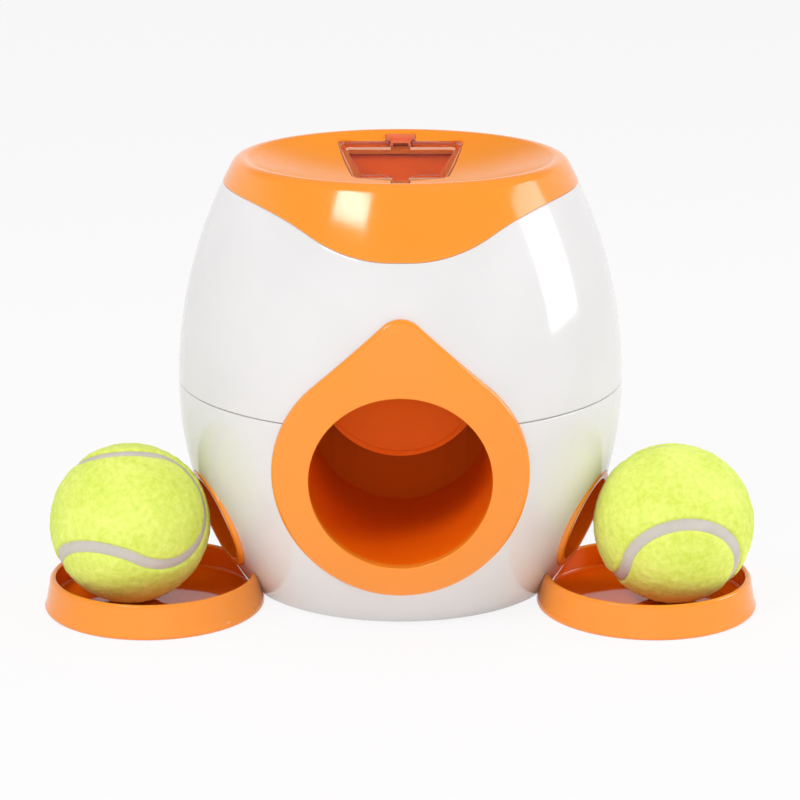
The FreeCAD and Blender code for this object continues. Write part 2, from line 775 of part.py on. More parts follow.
def lid_seat():
    """Cutting tools for the lid: its bed, the hatch, the finger slot, the hinge notch and the pin's hole."""
    notch_half = hinge_half + notch_gap
    bed, slot_high = -lid_thick - ledge_gap, BIG / 40
    return [
        lid_prism(notch_gap, BIG / 10, bed), lid_prism(-lid_ledge, lid_border, -BIG / 10),
        lid_block(tab_half, lid_length - tab_w, tab_end, bed, slot_high),
        box(-notch_half, notch_half, lid_back_y - neck_lap, hinge_y + hinge_r + notch_gap,
            hinge_z - hinge_r - notch_gap, BIG),
        rod(hinge_pin_r, hinge_point(-notch_half - pin_bite), hinge_point(notch_half + pin_bite)),
    ]


def top_bezel():
    """Orange top: skin, lid ledge, hinge notch with cheeks, and the bosses under it."""
    body = join([top_skin()] + top_pads(envelope(core_z, -bezel_wall / 2)))
    tools = lid_seat()
    tools += [rod(pilot_r, p, p + V(0, 0, frame_screw_long)) for p in frame_boss_points(frame_top_z)]
    pilot_top = lug_z + bezel_screw_long + over
    tools += [rod(pilot_r, lug_point(i, lug_top - over), lug_point(i, pilot_top)) for i in range(4)]
    for tool in tools:
        body = body.cut(tool)
    return body


def hatch_lid():
    """Clear flap with a raised border, a hinge barrel, a finger tab and a latch tongue."""
    plate = lid_prism(0.0, lid_border, -lid_thick)
    plate = plate.cut(lid_prism(-lid_border_w, lid_border + over, 0.0))
    neck = box(-hinge_neck / 2, hinge_neck / 2, lid_back_y - neck_lap, hinge_y, lid_back_z - neck_low,
               lid_back_z + neck_high)
    knuckle = rod(hinge_r, hinge_point(-hinge_half), hinge_point(hinge_half))
    tab = lid_block(tab_w / 2, lid_length - lid_border_w, lid_length + tab_long, -lid_thick, 0)
    latch_end = lid_length - lid_ledge - latch_gap
    latch = lid_block(latch_w / 2, latch_end - latch_thick, latch_end, -latch_deep, -lid_thick / 2)
    lid = join([plate, neck, knuckle, tab, latch])
    return lid.cut(rod(hinge_pin_r + run_gap, hinge_point(-BIG), hinge_point(BIG)))


def hatch_pin():
    """Steel pin through the lid's knuckle into the cheeks of the notch."""
    reach = hinge_half + notch_gap + pin_bite
    return rod(hinge_pin_r, hinge_point(-reach), hinge_point(reach))


def hopper():
    """Funnel from the hatch down to the drum."""
    def ring(half, y0, y1, z, grow):
        corners = [V(-half - grow, y0 - grow, z), V(half + grow, y0 - grow, z),
                   V(half + grow, y1 + grow, z), V(-half - grow, y1 + grow, z)]
        return Part.makePolygon(corners + [corners[0]])

    def funnel(grow):
        high = ring(hopper_top_half, hopper_top_y0, hopper_top_y1, rim_z, grow)
        low = ring(hopper_low_half, hopper_low_y0, hopper_low_y1, hopper_low_z, grow)
        return Part.makeLoft([low, high], True, True)

    low_z = frame_top_z + seat_gap
    spread = hopper_wall + hopper_flange_out
    flange = box(-hopper_low_half - spread, hopper_low_half + spread, hopper_low_y0 - spread,
                 hopper_low_y1 + spread, low_z, low_z + hopper_flange)
    throat = box(-hopper_low_half - hopper_wall, hopper_low_half + hopper_wall, hopper_low_y0 - hopper_wall,
                 hopper_low_y1 + hopper_wall, low_z, hopper_low_z)
    body = join([funnel(hopper_wall), throat, flange])
    body = body.cut(funnel(0.0))
    body = body.cut(box(-hopper_low_half, hopper_low_half, hopper_low_y0, hopper_low_y1, 0, hopper_low_z))
    body = body.common(envelope(core_z, -bezel_wall - seat_gap))
    return body.cut(lid_prism(lid_ledge + hopper_clear, BIG / 10, pad_low - seat_gap))


# ---------------------------------------------------------------- mechanism
def side_plates():
    """Two plates that carry both axles."""
    low_z = drum_z - drum_r + plate_over_drum
    outline = [(plate_front_y, frame_top_z), (plate_back_y, frame_top_z), (plate_back_y, plate_tail_z),
               (plate_back_y - plate_tail, low_z), (plate_drum_y, low_z), (plate_step_y, plate_low_z),
               (plate_front_y + plate_nose[0], plate_low_z), (plate_front_y, plate_low_z + plate_nose[1])]
    plate = prism([V(plate_x, y, z) for y, z in outline], V(plate_thick, 0, 0))
    return [plate, mirrored(plate)]


def drum_shroud(half):
    """Tube round the drum, open above for the hopper and behind for the treats."""
    start, end = V(-half, drum_y, drum_z), V(half, drum_y, drum_z)
    tube = pipe(shroud_out, shroud_in, start, end)
    for first, last in ((throat_front, throat_back), (outfall_high, outfall_low)):
        rays = [first + (last - first) * i / 4 for i in range(5)]
        reach = 3 * shroud_out
        fan = [start] + [start + V(0, reach * sin(a), reach * cos(a)) for a in rays]
        tube = tube.cut(prism(fan, end - start))
    return tube


def mechanism_frame():
    """Moulded frame: side plates, top lugs, and the shroud round the drum."""
    width = plate_x + plate_thick / 2
    spread = hopper_wall + hopper_flange_out
    shelf = box(-width, width, hopper_low_y0 - spread, hopper_low_y1 + spread,
                frame_top_z - shelf_thick, frame_top_z)
    shelf = shelf.cut(box(-hopper_low_half, hopper_low_half, hopper_low_y0, hopper_low_y1, 0, BIG))
    clear = rod(shroud_in, V(-width, drum_y, drum_z), V(width, drum_y, drum_z))
    guides = [box(-width, width, y, y + throat_wall, drum_z + guide_low, frame_top_z - shelf_lap).cut(clear)
              for y in (hopper_low_y0 - throat_wall, hopper_low_y1)]
    tie = box(-width, width, tie_y, tie_y + tie_thick, tie_z, frame_top_z)
    reach = boss_r + frame_lug_edge
    lugs = [box(plate_x, p.x + reach, p.y - reach, p.y + reach, frame_top_z - frame_lug_thick, frame_top_z)
            for p in frame_boss_points(0) if p.x > 0]
    lugs += [mirrored(lug) for lug in lugs]
    body = join(side_plates() + [drum_shroud(width), shelf, tie] + guides + lugs)
    outside = box(-plate_x, plate_x, -BIG, BIG, 0, BIG)
    for y, z in ((axle_y, axle_z), (drum_y, drum_z)):
        body = body.cut(rod(bush_r, V(-BIG, y, z), V(BIG, y, z)).cut(outside))
    for p in frame_boss_points(0):
        body = body.cut(rod(screw_r + seat_gap, p, p + V(0, 0, BIG)))
    return body


def frame_screws():
    """Screws up through the lugs into the top's bosses."""
    return [screw(p, Z_AXIS, frame_screw_long) for p in frame_boss_points(frame_top_z - frame_lug_thick)]


def axle_bushes():
    """Four flanged bushes in the side plates."""
    bushes = []
    for y, z in ((axle_y, axle_z), (drum_y, drum_z)):
        inner, outer = plate_x - bush_flange, plate_x + plate_thick
        sleeve = rod(bush_r, V(plate_x, y, z), V(outer, y, z))
        flange = rod(bush_flange_r, V(inner, y, z), V(plate_x, y, z))
        bush = join([sleeve, flange]).cut(rod(axle_r + run_gap, V(0, y, z), V(BIG, y, z)))
        bushes += [bush, mirrored(bush)]
    return bushes


def flank_half(count, radius):
    """Half of a tooth's angle at a radius: an involute on the base circle, thinned by the backlash."""
    pitch_r = gear_module * count / 2.0
    involute = lambda a: math.degrees(tan(a)) - a
    at_pitch = 90.0 / count - math.degrees(backlash / 4.0 / pitch_r)
    lean = math.degrees(math.acos(min(1.0, pitch_r * cos(pressure_angle) / radius)))
    return at_pitch + involute(pressure_angle) - involute(lean)


def gear_teeth(count, addendum, teeth):
    """Tooth outlines of a spur gear: involute flanks drawn as arcs, on the given tooth numbers.

    Each tooth is centred at its number times the pitch angle, from the local +X axis.
    """
    pitch_r = gear_module * count / 2.0
    tip_r, root_r = pitch_r + addendum, pitch_r - dedendum
    start_r = max(pitch_r * cos(pressure_angle), root_r)
    radii = [start_r, (start_r + tip_r) / 2.0, tip_r]
    half = [flank_half(count, r) for r in radii]
    solids = []
    for number in teeth:
        centre = 360.0 * number / count
        right = [ring_point(r, centre - h) for r, h in zip(radii, half)]
        left = [ring_point(r, centre + h) for r, h in zip(radii, half)]
        foot_right, foot_left = (ring_point(root_r - tooth_root, centre + h) for h in (-half[0], half[0]))
        loop = [line(foot_right, right[0]), arc(*right), arc(right[2], ring_point(tip_r, centre), left[2]),
                arc(left[2], left[1], left[0]), line(left[0], foot_left), line(foot_left, foot_right)]
        solids.append(Part.Face(Part.Wire(loop)).extrude(V(0, 0, gear_thick)))
    return solids, root_r


def on_axle(shape, x, y, z):
    """Stand a flat gear up: its local X to +Y, local Y to +Z, and its thickness along +X."""
    copy = shape.copy()
    copy.rotate(V(0, 0, 0), V(1, 1, 1), 120)
    copy.translate(V(x, y, z))
    return copy


def sector_gear():
    """Gear sector on the paddle's axle."""
    first, last = sector_teeth
    teeth, root_r = gear_teeth(sector_count, sector_addendum, range(first, last + 1))
    pitch = 360.0 / sector_count
    low, high = (first - sector_margin) * pitch, (last + sector_margin) * pitch
    rim = [ring_point(root_r, a) for a in (low, (low + high) / 2, high)]
    neck_low, neck_high = (ring_point(hub_r + web_foot, a) for a in (low - web_spread, high + web_spread))
    loop = [arc(*rim), line(rim[2], neck_high), line(neck_high, neck_low), line(neck_low, rim[0])]
    web = Part.Face(Part.Wire(loop)).extrude(V(0, 0, gear_thick))
    hub = Part.makeCylinder(hub_r + sector_hub, gear_thick)
    near, far = window_r, root_r - window_rim
    window = [ring_point(near, low + window_low_lean), ring_point(far, low + window_high_lean),
              ring_point(far, high - window_high_lean), ring_point(near, high - window_low_lean)]
    body = join([web, hub] + teeth).cut(prism(window, V(0, 0, gear_thick)))
    return on_axle(body.cut(Part.makeCylinder(axle_r, gear_thick)), gear_x, axle_y, axle_z)


def drum_pinion():
    """Pinion on the drum's axle, with a gap that faces the sector."""
    teeth, root_r = gear_teeth(pinion_count, pinion_addendum, [n + 0.5 for n in range(pinion_count)])
    body = join([Part.makeCylinder(root_r, gear_thick)] + teeth)
    body = body.cut(Part.makeCylinder(axle_r, gear_thick))
    return on_axle(turned(body, V(0, 0, 0), Z_AXIS, 180), gear_x, drum_y, drum_z)


def treat_drum():
    """Drum with one scoop-shaped pocket under the hopper's throat."""
    start, end = V(-drum_half, drum_y, drum_z), V(drum_half, drum_y, drum_z)
    drum = rod(drum_r, start, end)
    lean = V(0, pocket_rise * sin(pocket_lead), pocket_rise * cos(pocket_lead))
    scoop = rod(pocket_r, V(-pocket_half, drum_y, drum_z) + lean,
                V(pocket_half, drum_y, drum_z) + lean)
    ends = [e for e in scoop.Edges if e.Curve.TypeId == "Part::GeomCircle"]
    drum = drum.cut(scoop.makeFillet(pocket_round, ends))
    return drum.cut(rod(axle_r, start, end))


def paddle_outline(inset, y, depth):
    """The paddle's flat outline: round at the bottom, with shoulders and a neck, inset all round."""
    r = paddle_r - inset
    centre = V(0, y, paddle_centre_z)
    low = V(0, y, paddle_centre_z - r)
    side_x = math.sqrt(r ** 2 - (paddle_shoulder_z - paddle_centre_z) ** 2)
    right, left = V(side_x, y, paddle_shoulder_z), V(-side_x, y, paddle_shoulder_z)
    neck = paddle_neck_half - inset
    top = axle_z - hub_r / 2
    points = [right, V(neck, y, paddle_neck_z - inset)]
    points += [V(neck, y, top), V(-neck, y, top)] if not inset else []
    points += [V(-neck, y, paddle_neck_z - inset), left]
    loop = [arc(left, low, right)] + [line(a, b) for a, b in zip(points, points[1:])]
    return Part.Face(Part.Wire(loop)).extrude(V(0, depth, 0))


def paddle():
    """Hanging paddle with a dished face that takes the ball, and a hub along its top."""
    front = axle_y + paddle_front
    plate = paddle_outline(0, front, paddle_thick)
    bulge_r = (paddle_r ** 2 + paddle_dish ** 2) / (2 * paddle_dish)
    middle = V(0, front + paddle_dish - bulge_r, paddle_centre_z)
    deep = paddle_dish + 2 * paddle_thick
    bulge_out = Part.makeSphere(bulge_r + paddle_thick, middle).common(paddle_outline(0, front, deep))
    bulge_in = paddle_outline(paddle_rim, front - over, deep + over)
    bulge_in = Part.makeSphere(bulge_r, middle).common(bulge_in)
    hub = rod(hub_r, V(-hub_left, axle_y, axle_z), V(hub_half, axle_y, axle_z))
    ears = box(-hub_left, paddle_neck_half, front, axle_y + hub_r, paddle_neck_z + ear_lap, axle_z)
    ears = ears.cut(box(-ear_gap_half, ear_gap_half, front + paddle_thick, BIG, 0, axle_z - hub_r))
    rib_back = axle_y + spring_r - spring_wire - seat_gap
    rib_top = paddle_neck_z + paddle_thick
    rib = box(-paddle_neck_half, -hub_left, front, rib_back, rib_top - 2 * paddle_thick, rib_top)
    spring_room = box(-BIG, -hub_left, -BIG, BIG, rib_top, BIG)
    body = join([join([plate, bulge_out]).cut(bulge_in).cut(spring_room), hub, ears, rib])
    return body.cut(rod(axle_r, V(-BIG, axle_y, axle_z), V(BIG, axle_y, axle_z)))


def axle(y, z):
    """Steel axle from clip to clip."""
    return rod(axle_r, V(-plate_x - plate_thick - axle_over, y, z), V(gear_x + gear_thick + axle_over, y, z))


def paddle_axle():
    """Axle that the paddle and the sector are fixed on."""
    return axle(axle_y, axle_z)


def drum_axle():
    """Axle that the drum and the pinion are fixed on."""
    return axle(drum_y, drum_z)


def axle_clips(y, z):
    """Push-on clips at both ends of an axle."""
    spots = [gear_x + gear_thick + seat_gap, -plate_x - plate_thick - slide_gap - clip_thick]
    return [pipe(clip_r, axle_r, V(x, y, z), V(x + clip_thick, y, z)) for x in spots]


def return_spring():
    """Coil round the paddle's axle: one leg leans on the tie, the other on the paddle's rib."""
    length = spring_turns * spring_pitch
    helix = Part.makeHelix(spring_pitch, length, spring_r)
    path = Part.Wire(helix.Edges)
    first, last = helix.Edges[0], helix.Edges[-1]
    start, way_in = first.valueAt(first.FirstParameter), first.tangentAt(first.FirstParameter)
    end, way_out = last.valueAt(last.LastParameter), last.tangentAt(last.LastParameter)
    coil = path.makePipeShell([Part.Wire(Part.makeCircle(spring_wire, start, way_in))], True, True)
    legs = [rod(spring_wire, start - way_in * spring_leg_up, start),
            rod(spring_wire, end, end + way_out * spring_leg_down)]
    whole = join([coil] + legs).mirror(V(0, 0, 0), Y_AXIS)
    return on_axle(whole, spring_x, axle_y, axle_z)


# ---------------------------------------------------------------- surround, well, chute
def bore(radius, start_y, end_y):
    """A round bar along the ball tube's axis."""
    at = lambda y: V(0, y, bore_z + (y + barrel_r(bore_z)) * tan(bore_slope))
    return rod(radius, at(start_y), at(end_y))


def well_space(shift, high):
    """All space behind the faceted wall's front, moved back by a shift."""
    far = well_side + well_far
    right = [(well_flat, 0), (well_mid, -well_mid_back), (well_side, -well_side_back),
             (far, -well_side_back - well_far_back)]
    corners = [(-x, y) for x, y in reversed(right)] + right
    points = [V(x, well_y + y + shift, 0) for x, y in corners] + [V(far, BIG, 0), V(-far, BIG, 0)]
    return prism(points, V(0, 0, high))


def surround_plate():
    """The teardrop plate on the barrel's skin, with its outer edge rounded."""
    plate = shell(*surround_z, surround_proud, seat_gap).common(teardrop(0))
    skin = lambda p: abs(math.hypot(p.x, p.y) - barrel_r(p.z, surround_proud)) < 2 * same
    rim = [e for e in plate.Edges if all(skin(p) for p in e.discretize(5))]
    return plate.makeFillet(surround_edge_r, rim)


def surround_collar():
    """Collar behind the plate, inside the housings' cut-out, and the hooks that grip the wall."""
    inset = -surround_lip - seat_gap
    collar = shell(*surround_z, surround_proud / 2, -wall - collar_deep).common(teardrop(inset))
    deep = -wall - seat_gap
    hooks = shell(*surround_z, deep, deep - hook_thick).common(teardrop(inset + hook_out))
    hooks = [hooks.common(box(-BIG, BIG, -BIG, 0, z, z + hook_high)) for z in hook_z]
    return [part.cut(teardrop(inset - collar_wall)) for part in [collar] + hooks]


def ball_tube():
    """Tube behind the plate: closed at the front, an open trough behind, ended by the well."""
    tube = bore(bore_r + tube_wall, -belly_r, BIG / 10).common(barrel(*surround_z, surround_proud / 2))
    tube = tube.cut(box(-BIG, BIG, tube_roof_end, BIG, trough_top_z, BIG))
    return tube.cut(well_space(well_wall + seat_gap + well_groove_lip, BIG))


def front_surround():
    """Orange teardrop surround with the ball tube behind it."""
    whole = join([surround_plate(), ball_tube()] + surround_collar())
    whole = whole.cut(bore(bore_r, -2 * belly_r, BIG / 10))
    bevel = bore(bore_r + bore_edge, -2 * belly_r, -surround_back)
    bevel = bevel.cut(barrel(*surround_z, surround_proud - bore_edge))
    groove = bore(bore_r + well_groove, -well_side, well_side)
    groove = groove.common(well_space(-seat_gap, BIG)).cut(well_space(well_wall + seat_gap, BIG))
    return whole.cut(bevel).cut(groove)


def well_slab():
    """The faceted wall as a wide slab."""
    return well_space(0, well_top_z).cut(well_space(well_wall, well_top_z + over))


def ball_well_back():
    """Faceted wall that slides down into the groove at the trough's end, with holes for the bumpers."""
    reach = bore_r + well_groove - seat_gap
    outline = bore(reach, -well_side, well_side)
    upright = box(-reach, reach, -well_side, well_side, bore_z + well_neck_z, BIG)
    outline = outline.fuse(upright).removeSplitter()
    body = well_slab().common(outline)
    for side in (1, -1):
        spot = V(side * bumper_x, bumper_y, bumper_z)
        body = body.cut(rod(bumper_r / 2, spot, spot + V(0, BIG, 0)))
    return body


def paddle_bumpers():
    """Rubber plugs that stop the paddle."""
    plugs = []
    for side in (1, -1):
        spot = V(side * bumper_x, bumper_y, bumper_z)
        nose = rod(bumper_r, spot, spot + V(0, BIG / 10, 0)).cut(well_space(-soft_gap, BIG))
        stem = rod(bumper_r / 2 - seat_gap, spot, spot + V(0, BIG, 0)).cut(well_space(well_wall, BIG))
        plugs.append(join([nose, stem]))
    return plugs


def chute_plan(grow):
    """Plan outline of the forked chute, grown by a wall."""
    right = [(chute_in_x - grow, chute_front_y - grow), (chute_in_x - grow, chute_bend_y),
             (chute_mouth_in[0] - grow, chute_mouth_in[1] - grow),
             (chute_mouth_out[0] + grow, chute_mouth_out[1] - grow), (chute_heel[0] + grow, chute_heel[1]),
             (chute_elbow[0] + grow, chute_elbow[1] + grow / 2),
             (chute_turn_x + grow / 2, chute_back_y + grow)]
    return [V(x, y, 0) for x, y in right] + [V(-x, y, 0) for x, y in reversed(right)]


def chute_slopes(lift):
    """Space under the two slopes of the chute's floor."""
    slope = (chute_apex_z - chute_end_z) / chute_end_x
    low = chute_apex_z + lift - slope * chute_far
    points = [V(0, -BIG, chute_apex_z + lift), V(chute_far, -BIG, low), V(chute_far, -BIG, -BIG),
              V(-chute_far, -BIG, -BIG), V(-chute_far, -BIG, low)]
    return prism(points, V(0, 2 * BIG, 0))


def treat_chute():
    """Forked chute: an inverted V floor between walls, which ends at the two spouts."""
    steep = math.hypot(1.0, (chute_apex_z - chute_end_z) / chute_end_x)
    outside, inside = prism(chute_plan(chute_wall), V(0, 0, BIG)), prism(chute_plan(0.0), V(0, 0, BIG))
    band = outside.common(chute_slopes(chute_side * steep)).cut(chute_slopes(-chute_wall * steep))
    trough = band.cut(inside.cut(chute_slopes(0.0)))
    trough = trough.cut(box(-BIG, BIG, -BIG, BIG, drum_z - shroud_out - slide_gap, BIG))
    foot_z, top_z = base_top_z + seat_gap, BIG / 3
    legs = [rod(boss_r, chute_leg_point(side, foot_z), chute_leg_point(side, top_z)) for side in (1, -1)]
    body = join([trough] + [leg.common(chute_slopes(-leg_lap)) for leg in legs])
    for side in (1, -1):
        spot = chute_leg_point(side, 0)
        body = body.cut(rod(pilot_r, spot, spot + V(0, 0, screw_seat_z + base_screw_long + over)))
    body = body.common(barrel(base_top_z, chute_top_z, -wall - chute_clear))
    face, way = spout_axis()
    inner, outer = face - way * (spout_length + slide_gap), face + way * spout_r
    hole = rod(spout_r + spout_flange + slide_gap, inner, outer)
    return body.cut(hole).cut(mirrored(hole))


# ---------------------------------------------------------------- balls
def ball_centre():
    """Centre of the right-hand ball at rest."""
    return ring_point(tray_reach + ball_out, -bearing, ball_z)


def seam_path(radius):
    """The seam as four equal arcs on a sphere, each the mirror twist of the next."""
    lift = V(cos(seam_lift), 0, sin(seam_lift)), V(0, cos(seam_lift), -sin(seam_lift))
    poles = [lift[0], lift[1], V(-lift[0].x, 0, lift[0].z), V(0, -lift[1].y, lift[1].z)]
    corners = [unit(V(1, -1, 0)), unit(V(1, 1, 0)), unit(V(-1, 1, 0)), unit(V(-1, -1, 0))]
    edges = []
    for i, pole in enumerate(poles):
        start, end = corners[i], corners[(i + 1) % 4]
        centre = pole * pole.dot(start)
        reach = (start - centre).Length
        crown = V(0, 0, 1) if pole.z > 0 else V(0, 0, -1)
        way = unit(crown - pole * crown.dot(pole))
        middle = centre + way * reach
        edges.append(arc(start * radius, middle * radius, end * radius))
    return Part.Wire(edges)


def seam_tube(radius, thick):
    """A round bead along the seam."""
    path = seam_path(radius)
    first = path.Edges[0]
    start = first.valueAt(first.FirstParameter)
    way = first.tangentAt(first.FirstParameter)
    section = Part.Wire(Part.makeCircle(thick, start, way))
    return path.makePipeShell([section], True, True)


def ball_parts(side):
    """Core, felt and seam of one ball."""
    felt = Part.makeSphere(ball_r).cut(Part.makeSphere(ball_r - felt_thick))
    core = Part.makeSphere(ball_r - felt_thick).cut(Part.makeSphere(ball_r - felt_thick - core_wall))
    bead = seam_tube(ball_r - seam_sink, seam_r)
    bead = Part.Solid(bead) if bead.ShapeType != "Solid" else bead
    seam = bead.common(Part.makeSphere(ball_r))
    felt = felt.cut(bead)
    core = core.cut(bead)
    centre = ball_centre()
    centre.x *= side
    turn = V(*ball_turns[side])
    shapes = []
    for shape in (core, felt, seam):
        copy = shape.copy()
        copy.rotate(V(0, 0, 0), turn, math.degrees(turn.Length))
        copy.translate(centre)
        shapes.append(copy)
    return shapes


# ---------------------------------------------------------------- write the pieces
def write(node, shape):
    """Write one named piece, a solid or a group of equal solids."""
    solids = shape if isinstance(shape, list) else [shape]
    bodies = [solid for item in solids for solid in item.Solids]
    whole = bodies[0] if len(bodies) == 1 else Part.makeCompound(bodies)
    print("%-20s solids %d  volume %9.1f  valid %s" % (node, len(bodies), whole.Volume, whole.isValid()))
    whole.exportStep("parts/%s.step" % node)


def main():
    """Build every piece of the machine."""
    os.makedirs("parts", exist_ok=True)
    for make in (lower_housing, upper_housing, top_bezel, base_plate, rubber_feet, base_screws,
                 housing_screws, bezel_screws, front_surround, ball_well_back, paddle_bumpers, hopper,
                 hatch_lid, hatch_pin, mechanism_frame, frame_screws, axle_bushes, paddle, paddle_axle,
                 sector_gear, return_spring, treat_drum, drum_axle, drum_pinion, treat_chute):
        write(make.__name__, make())
    write("paddle_clips", axle_clips(axle_y, axle_z))
    write("drum_clips", axle_clips(drum_y, drum_z))
    right_spout, right_tray = spout(), tray()
    write("spout_right", right_spout)
    write("spout_left", mirrored(right_spout))
    write("tray_right", right_tray)
    write("tray_left", mirrored(right_tray))
    for side, name in ((-1, "left"), (1, "right")):
        core, felt, seam = ball_parts(side)
        write("ball_core_" + name, core)
        write("ball_felt_" + name, felt)
        write("ball_seam_" + name, seam)


main()
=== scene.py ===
"""Looks of the fetch-and-treat ball machine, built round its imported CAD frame.

Lengths are in millimetres, in the frame's own axes, and turn into metres when a mesh
is made. The barrel stands on the floor at the origin, and its ball tube looks along -Y.
"""
import json
import math

import bpy
import numpy as np
from mathutils import Matrix


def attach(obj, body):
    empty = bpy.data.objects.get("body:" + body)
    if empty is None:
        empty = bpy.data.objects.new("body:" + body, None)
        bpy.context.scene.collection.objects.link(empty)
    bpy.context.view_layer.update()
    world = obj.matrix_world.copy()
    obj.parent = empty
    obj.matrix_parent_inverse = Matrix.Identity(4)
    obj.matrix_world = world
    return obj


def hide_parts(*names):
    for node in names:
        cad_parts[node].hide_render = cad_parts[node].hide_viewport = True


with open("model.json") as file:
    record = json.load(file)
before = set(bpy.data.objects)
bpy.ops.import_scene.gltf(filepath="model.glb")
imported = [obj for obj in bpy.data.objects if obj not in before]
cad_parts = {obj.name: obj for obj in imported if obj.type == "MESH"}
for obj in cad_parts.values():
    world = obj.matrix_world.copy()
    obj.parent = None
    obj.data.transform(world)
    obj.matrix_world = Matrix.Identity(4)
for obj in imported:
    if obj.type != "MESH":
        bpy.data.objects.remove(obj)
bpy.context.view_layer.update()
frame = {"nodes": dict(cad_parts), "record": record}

MM = 0.001
X_WAY, Y_WAY, Z_WAY = np.eye(3)
PLACES = 360                     # columns round the barrel

# -------------------- sizes, mostly as in the part's source
BELLY_R, BELLY_Z = 91.4, 85.0
LOWER_ARC_R, UPPER_ARC_R = 144.0, 187.5
WALL = 2.6
FOOT_PROUD = 1.0
PARTING_Z = 87.2
PARTING_GAP = 0.15
RING_HALF, RING_WALL, RING_SHRINK = 3.0, 1.4, 0.968
RIM_Z, RIM_ROUND = 178.0, 5.0
DISH_FLOOR_Z = 165.3
BEZEL_WALL = 2.4
WAVE_LOW_Z, WAVE_HIGH_Z = 150.3, 168.1
WAVE_FLAT, WAVE_REACH, WAVE_LOW_R = 3.8, 72.0, 64.7
WAVE_GAP = 0.04
DROP_R, DROP_Z, DROP_TIP_R, DROP_TIP_RISE = 50.2, 66.0, 10.0, 54.2
SURROUND_PROUD = 2.0
SURROUND_OVERLAP = 4.0           # how far the plate covers the edge of the housings' opening
COLLAR_INSET, COLLAR_WALL, COLLAR_DEPTH = 4.15, 2.2, 4.6
BORE_R, BORE_Z, BORE_SLOPE = 35.5, 65.1, 2.0
TUBE_WALL = 2.4
TUBE_ROOF_END, TUBE_ROOF_HALF = -46.0, math.radians(84.0)
WELL_Y, TUBE_PAST_WELL = -1.0, 3.9
BEARING = math.radians(21.5)
SPOUT_R, SPOUT_BORE_R, SPOUT_Z = 21.5, 18.0, 33.0
SPOUT_SINK, SPOUT_TILT, SPOUT_LENGTH = 0.7, math.radians(20.0), 15.0
SPOUT_GAP, SPOUT_FLARE = 0.15, 6.0
TRAY_BASE_R, TRAY_RIM_R, TRAY_RIM_Z = 44.5, 41.8, 13.7
TRAY_WALL, TRAY_FLOOR = 2.2, 2.8
TRAY_REACH = 107.5
LID_BACK_Y, LID_BACK_Z, LID_TILT = 51.5, 174.0, math.radians(12.0)
LID_LENGTH, LID_BACK_W, LID_FRONT_W, LID_THICK = 41.0, 53.5, 38.0, 2.0
LID_LEDGE, LID_UNDER_GAP = 3.0, 0.1
LID_BORDER, LID_BORDER_W = 1.0, 3.4
LID_BACK_BORDER = 7.2            # width of the border along the lid's back edge
LID_MIDDLE = np.array([0.0, 31.5])
NECK_HALF, PANEL_NECK_HALF, PANEL_TAB_HALF = 4.9, 4.2, 2.9
HINGE_Y, HINGE_Z, HINGE_R, HINGE_HALF = 57.2, 174.6, 2.3, 6.0
PIN_BORE_R = 1.05
NOTCH_GAP = 0.4
TAB_W, TAB_LONG = 7.0, 7.0
BALL_R, BALL_LIFT = 32.5, 0.3
SEAM_HALF = 2.15
FELT_LUMPS = (0.22, 2.4, 5), (0.10, 0.9, 7), (0.18, 11.0, 9)     # height, size and seed of each
FIBRES, FIBRE_HALF = 15000, 0.055
BALL_OUT = {"left": 9.5, "right": 10.7}
SEAM_LIFTS = {"left": math.radians(8.7), "right": math.radians(3.8)}
BALL_TURNS = {"left": (0.6873, 1.8491, 0.8283), "right": (0.58, -0.3015, 1.633)}


# -------------------- mesh helpers
def grid_faces(rows, columns, close_rows=False, close_columns=True, start=0):
    """Quads of a grid whose vertex (i, j) has the number start + i * columns + j."""
    i = np.arange(rows if close_rows else rows - 1)[:, None]
    j = np.arange(columns if close_columns else columns - 1)[None, :]
    i2, j2 = (i + 1) % rows, (j + 1) % columns
    corners = [i * columns + j, i * columns + j2, i2 * columns + j2, i2 * columns + j]
    return np.stack(np.broadcast_arrays(*corners), -1).reshape(-1, 4) + start


def outward(points, faces):
    """The same faces, turned so that the volume of a closed surface, its fans' pyramids, is positive."""
    points = np.asarray(points, float)
    total = 0.0
    for size in {len(f) for f in faces}:
        ring = points[np.array([f for f in faces if len(f) == size])]
        for k in range(1, size - 1):
            total += np.einsum("ij,ij->i", ring[:, 0], np.cross(ring[:, k], ring[:, k + 1])).sum()
    step = -1 if total < 0 else 1
    return [list(map(int, f))[::step] for f in faces]


def link_mesh(name, solid):
    """An object in the scene from points in millimetres and their faces."""
    points, faces = solid
    mesh = bpy.data.meshes.new(name)
    mesh.from_pydata((np.asarray(points, float) * MM).tolist(), [], outward(points, faces))
    made = bpy.data.objects.new(name, mesh)
    bpy.context.scene.collection.objects.link(made)
    return made


def make_piece(name, solid, body, slot, replaces=(), sharp=35.0, material=None):
    """A smooth object with crisp edges above sharp degrees, in its slot's material if no other is given."""
    piece = link_mesh(name, solid)
    piece.data.validate()
    finish_mesh(piece, sharp)
    piece.data.materials.append(material or SLOT_MATERIALS[slot])
    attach(piece, body)
    if replaces:
        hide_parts(*replaces)
    return piece


def finish_mesh(piece, sharp):
    """Smooth faces and crisp edges by angle."""
    mesh = piece.data
    mesh.polygons.foreach_set("use_smooth", np.ones(len(mesh.polygons), bool))
    mesh.set_sharp_from_angle(angle=math.radians(sharp))


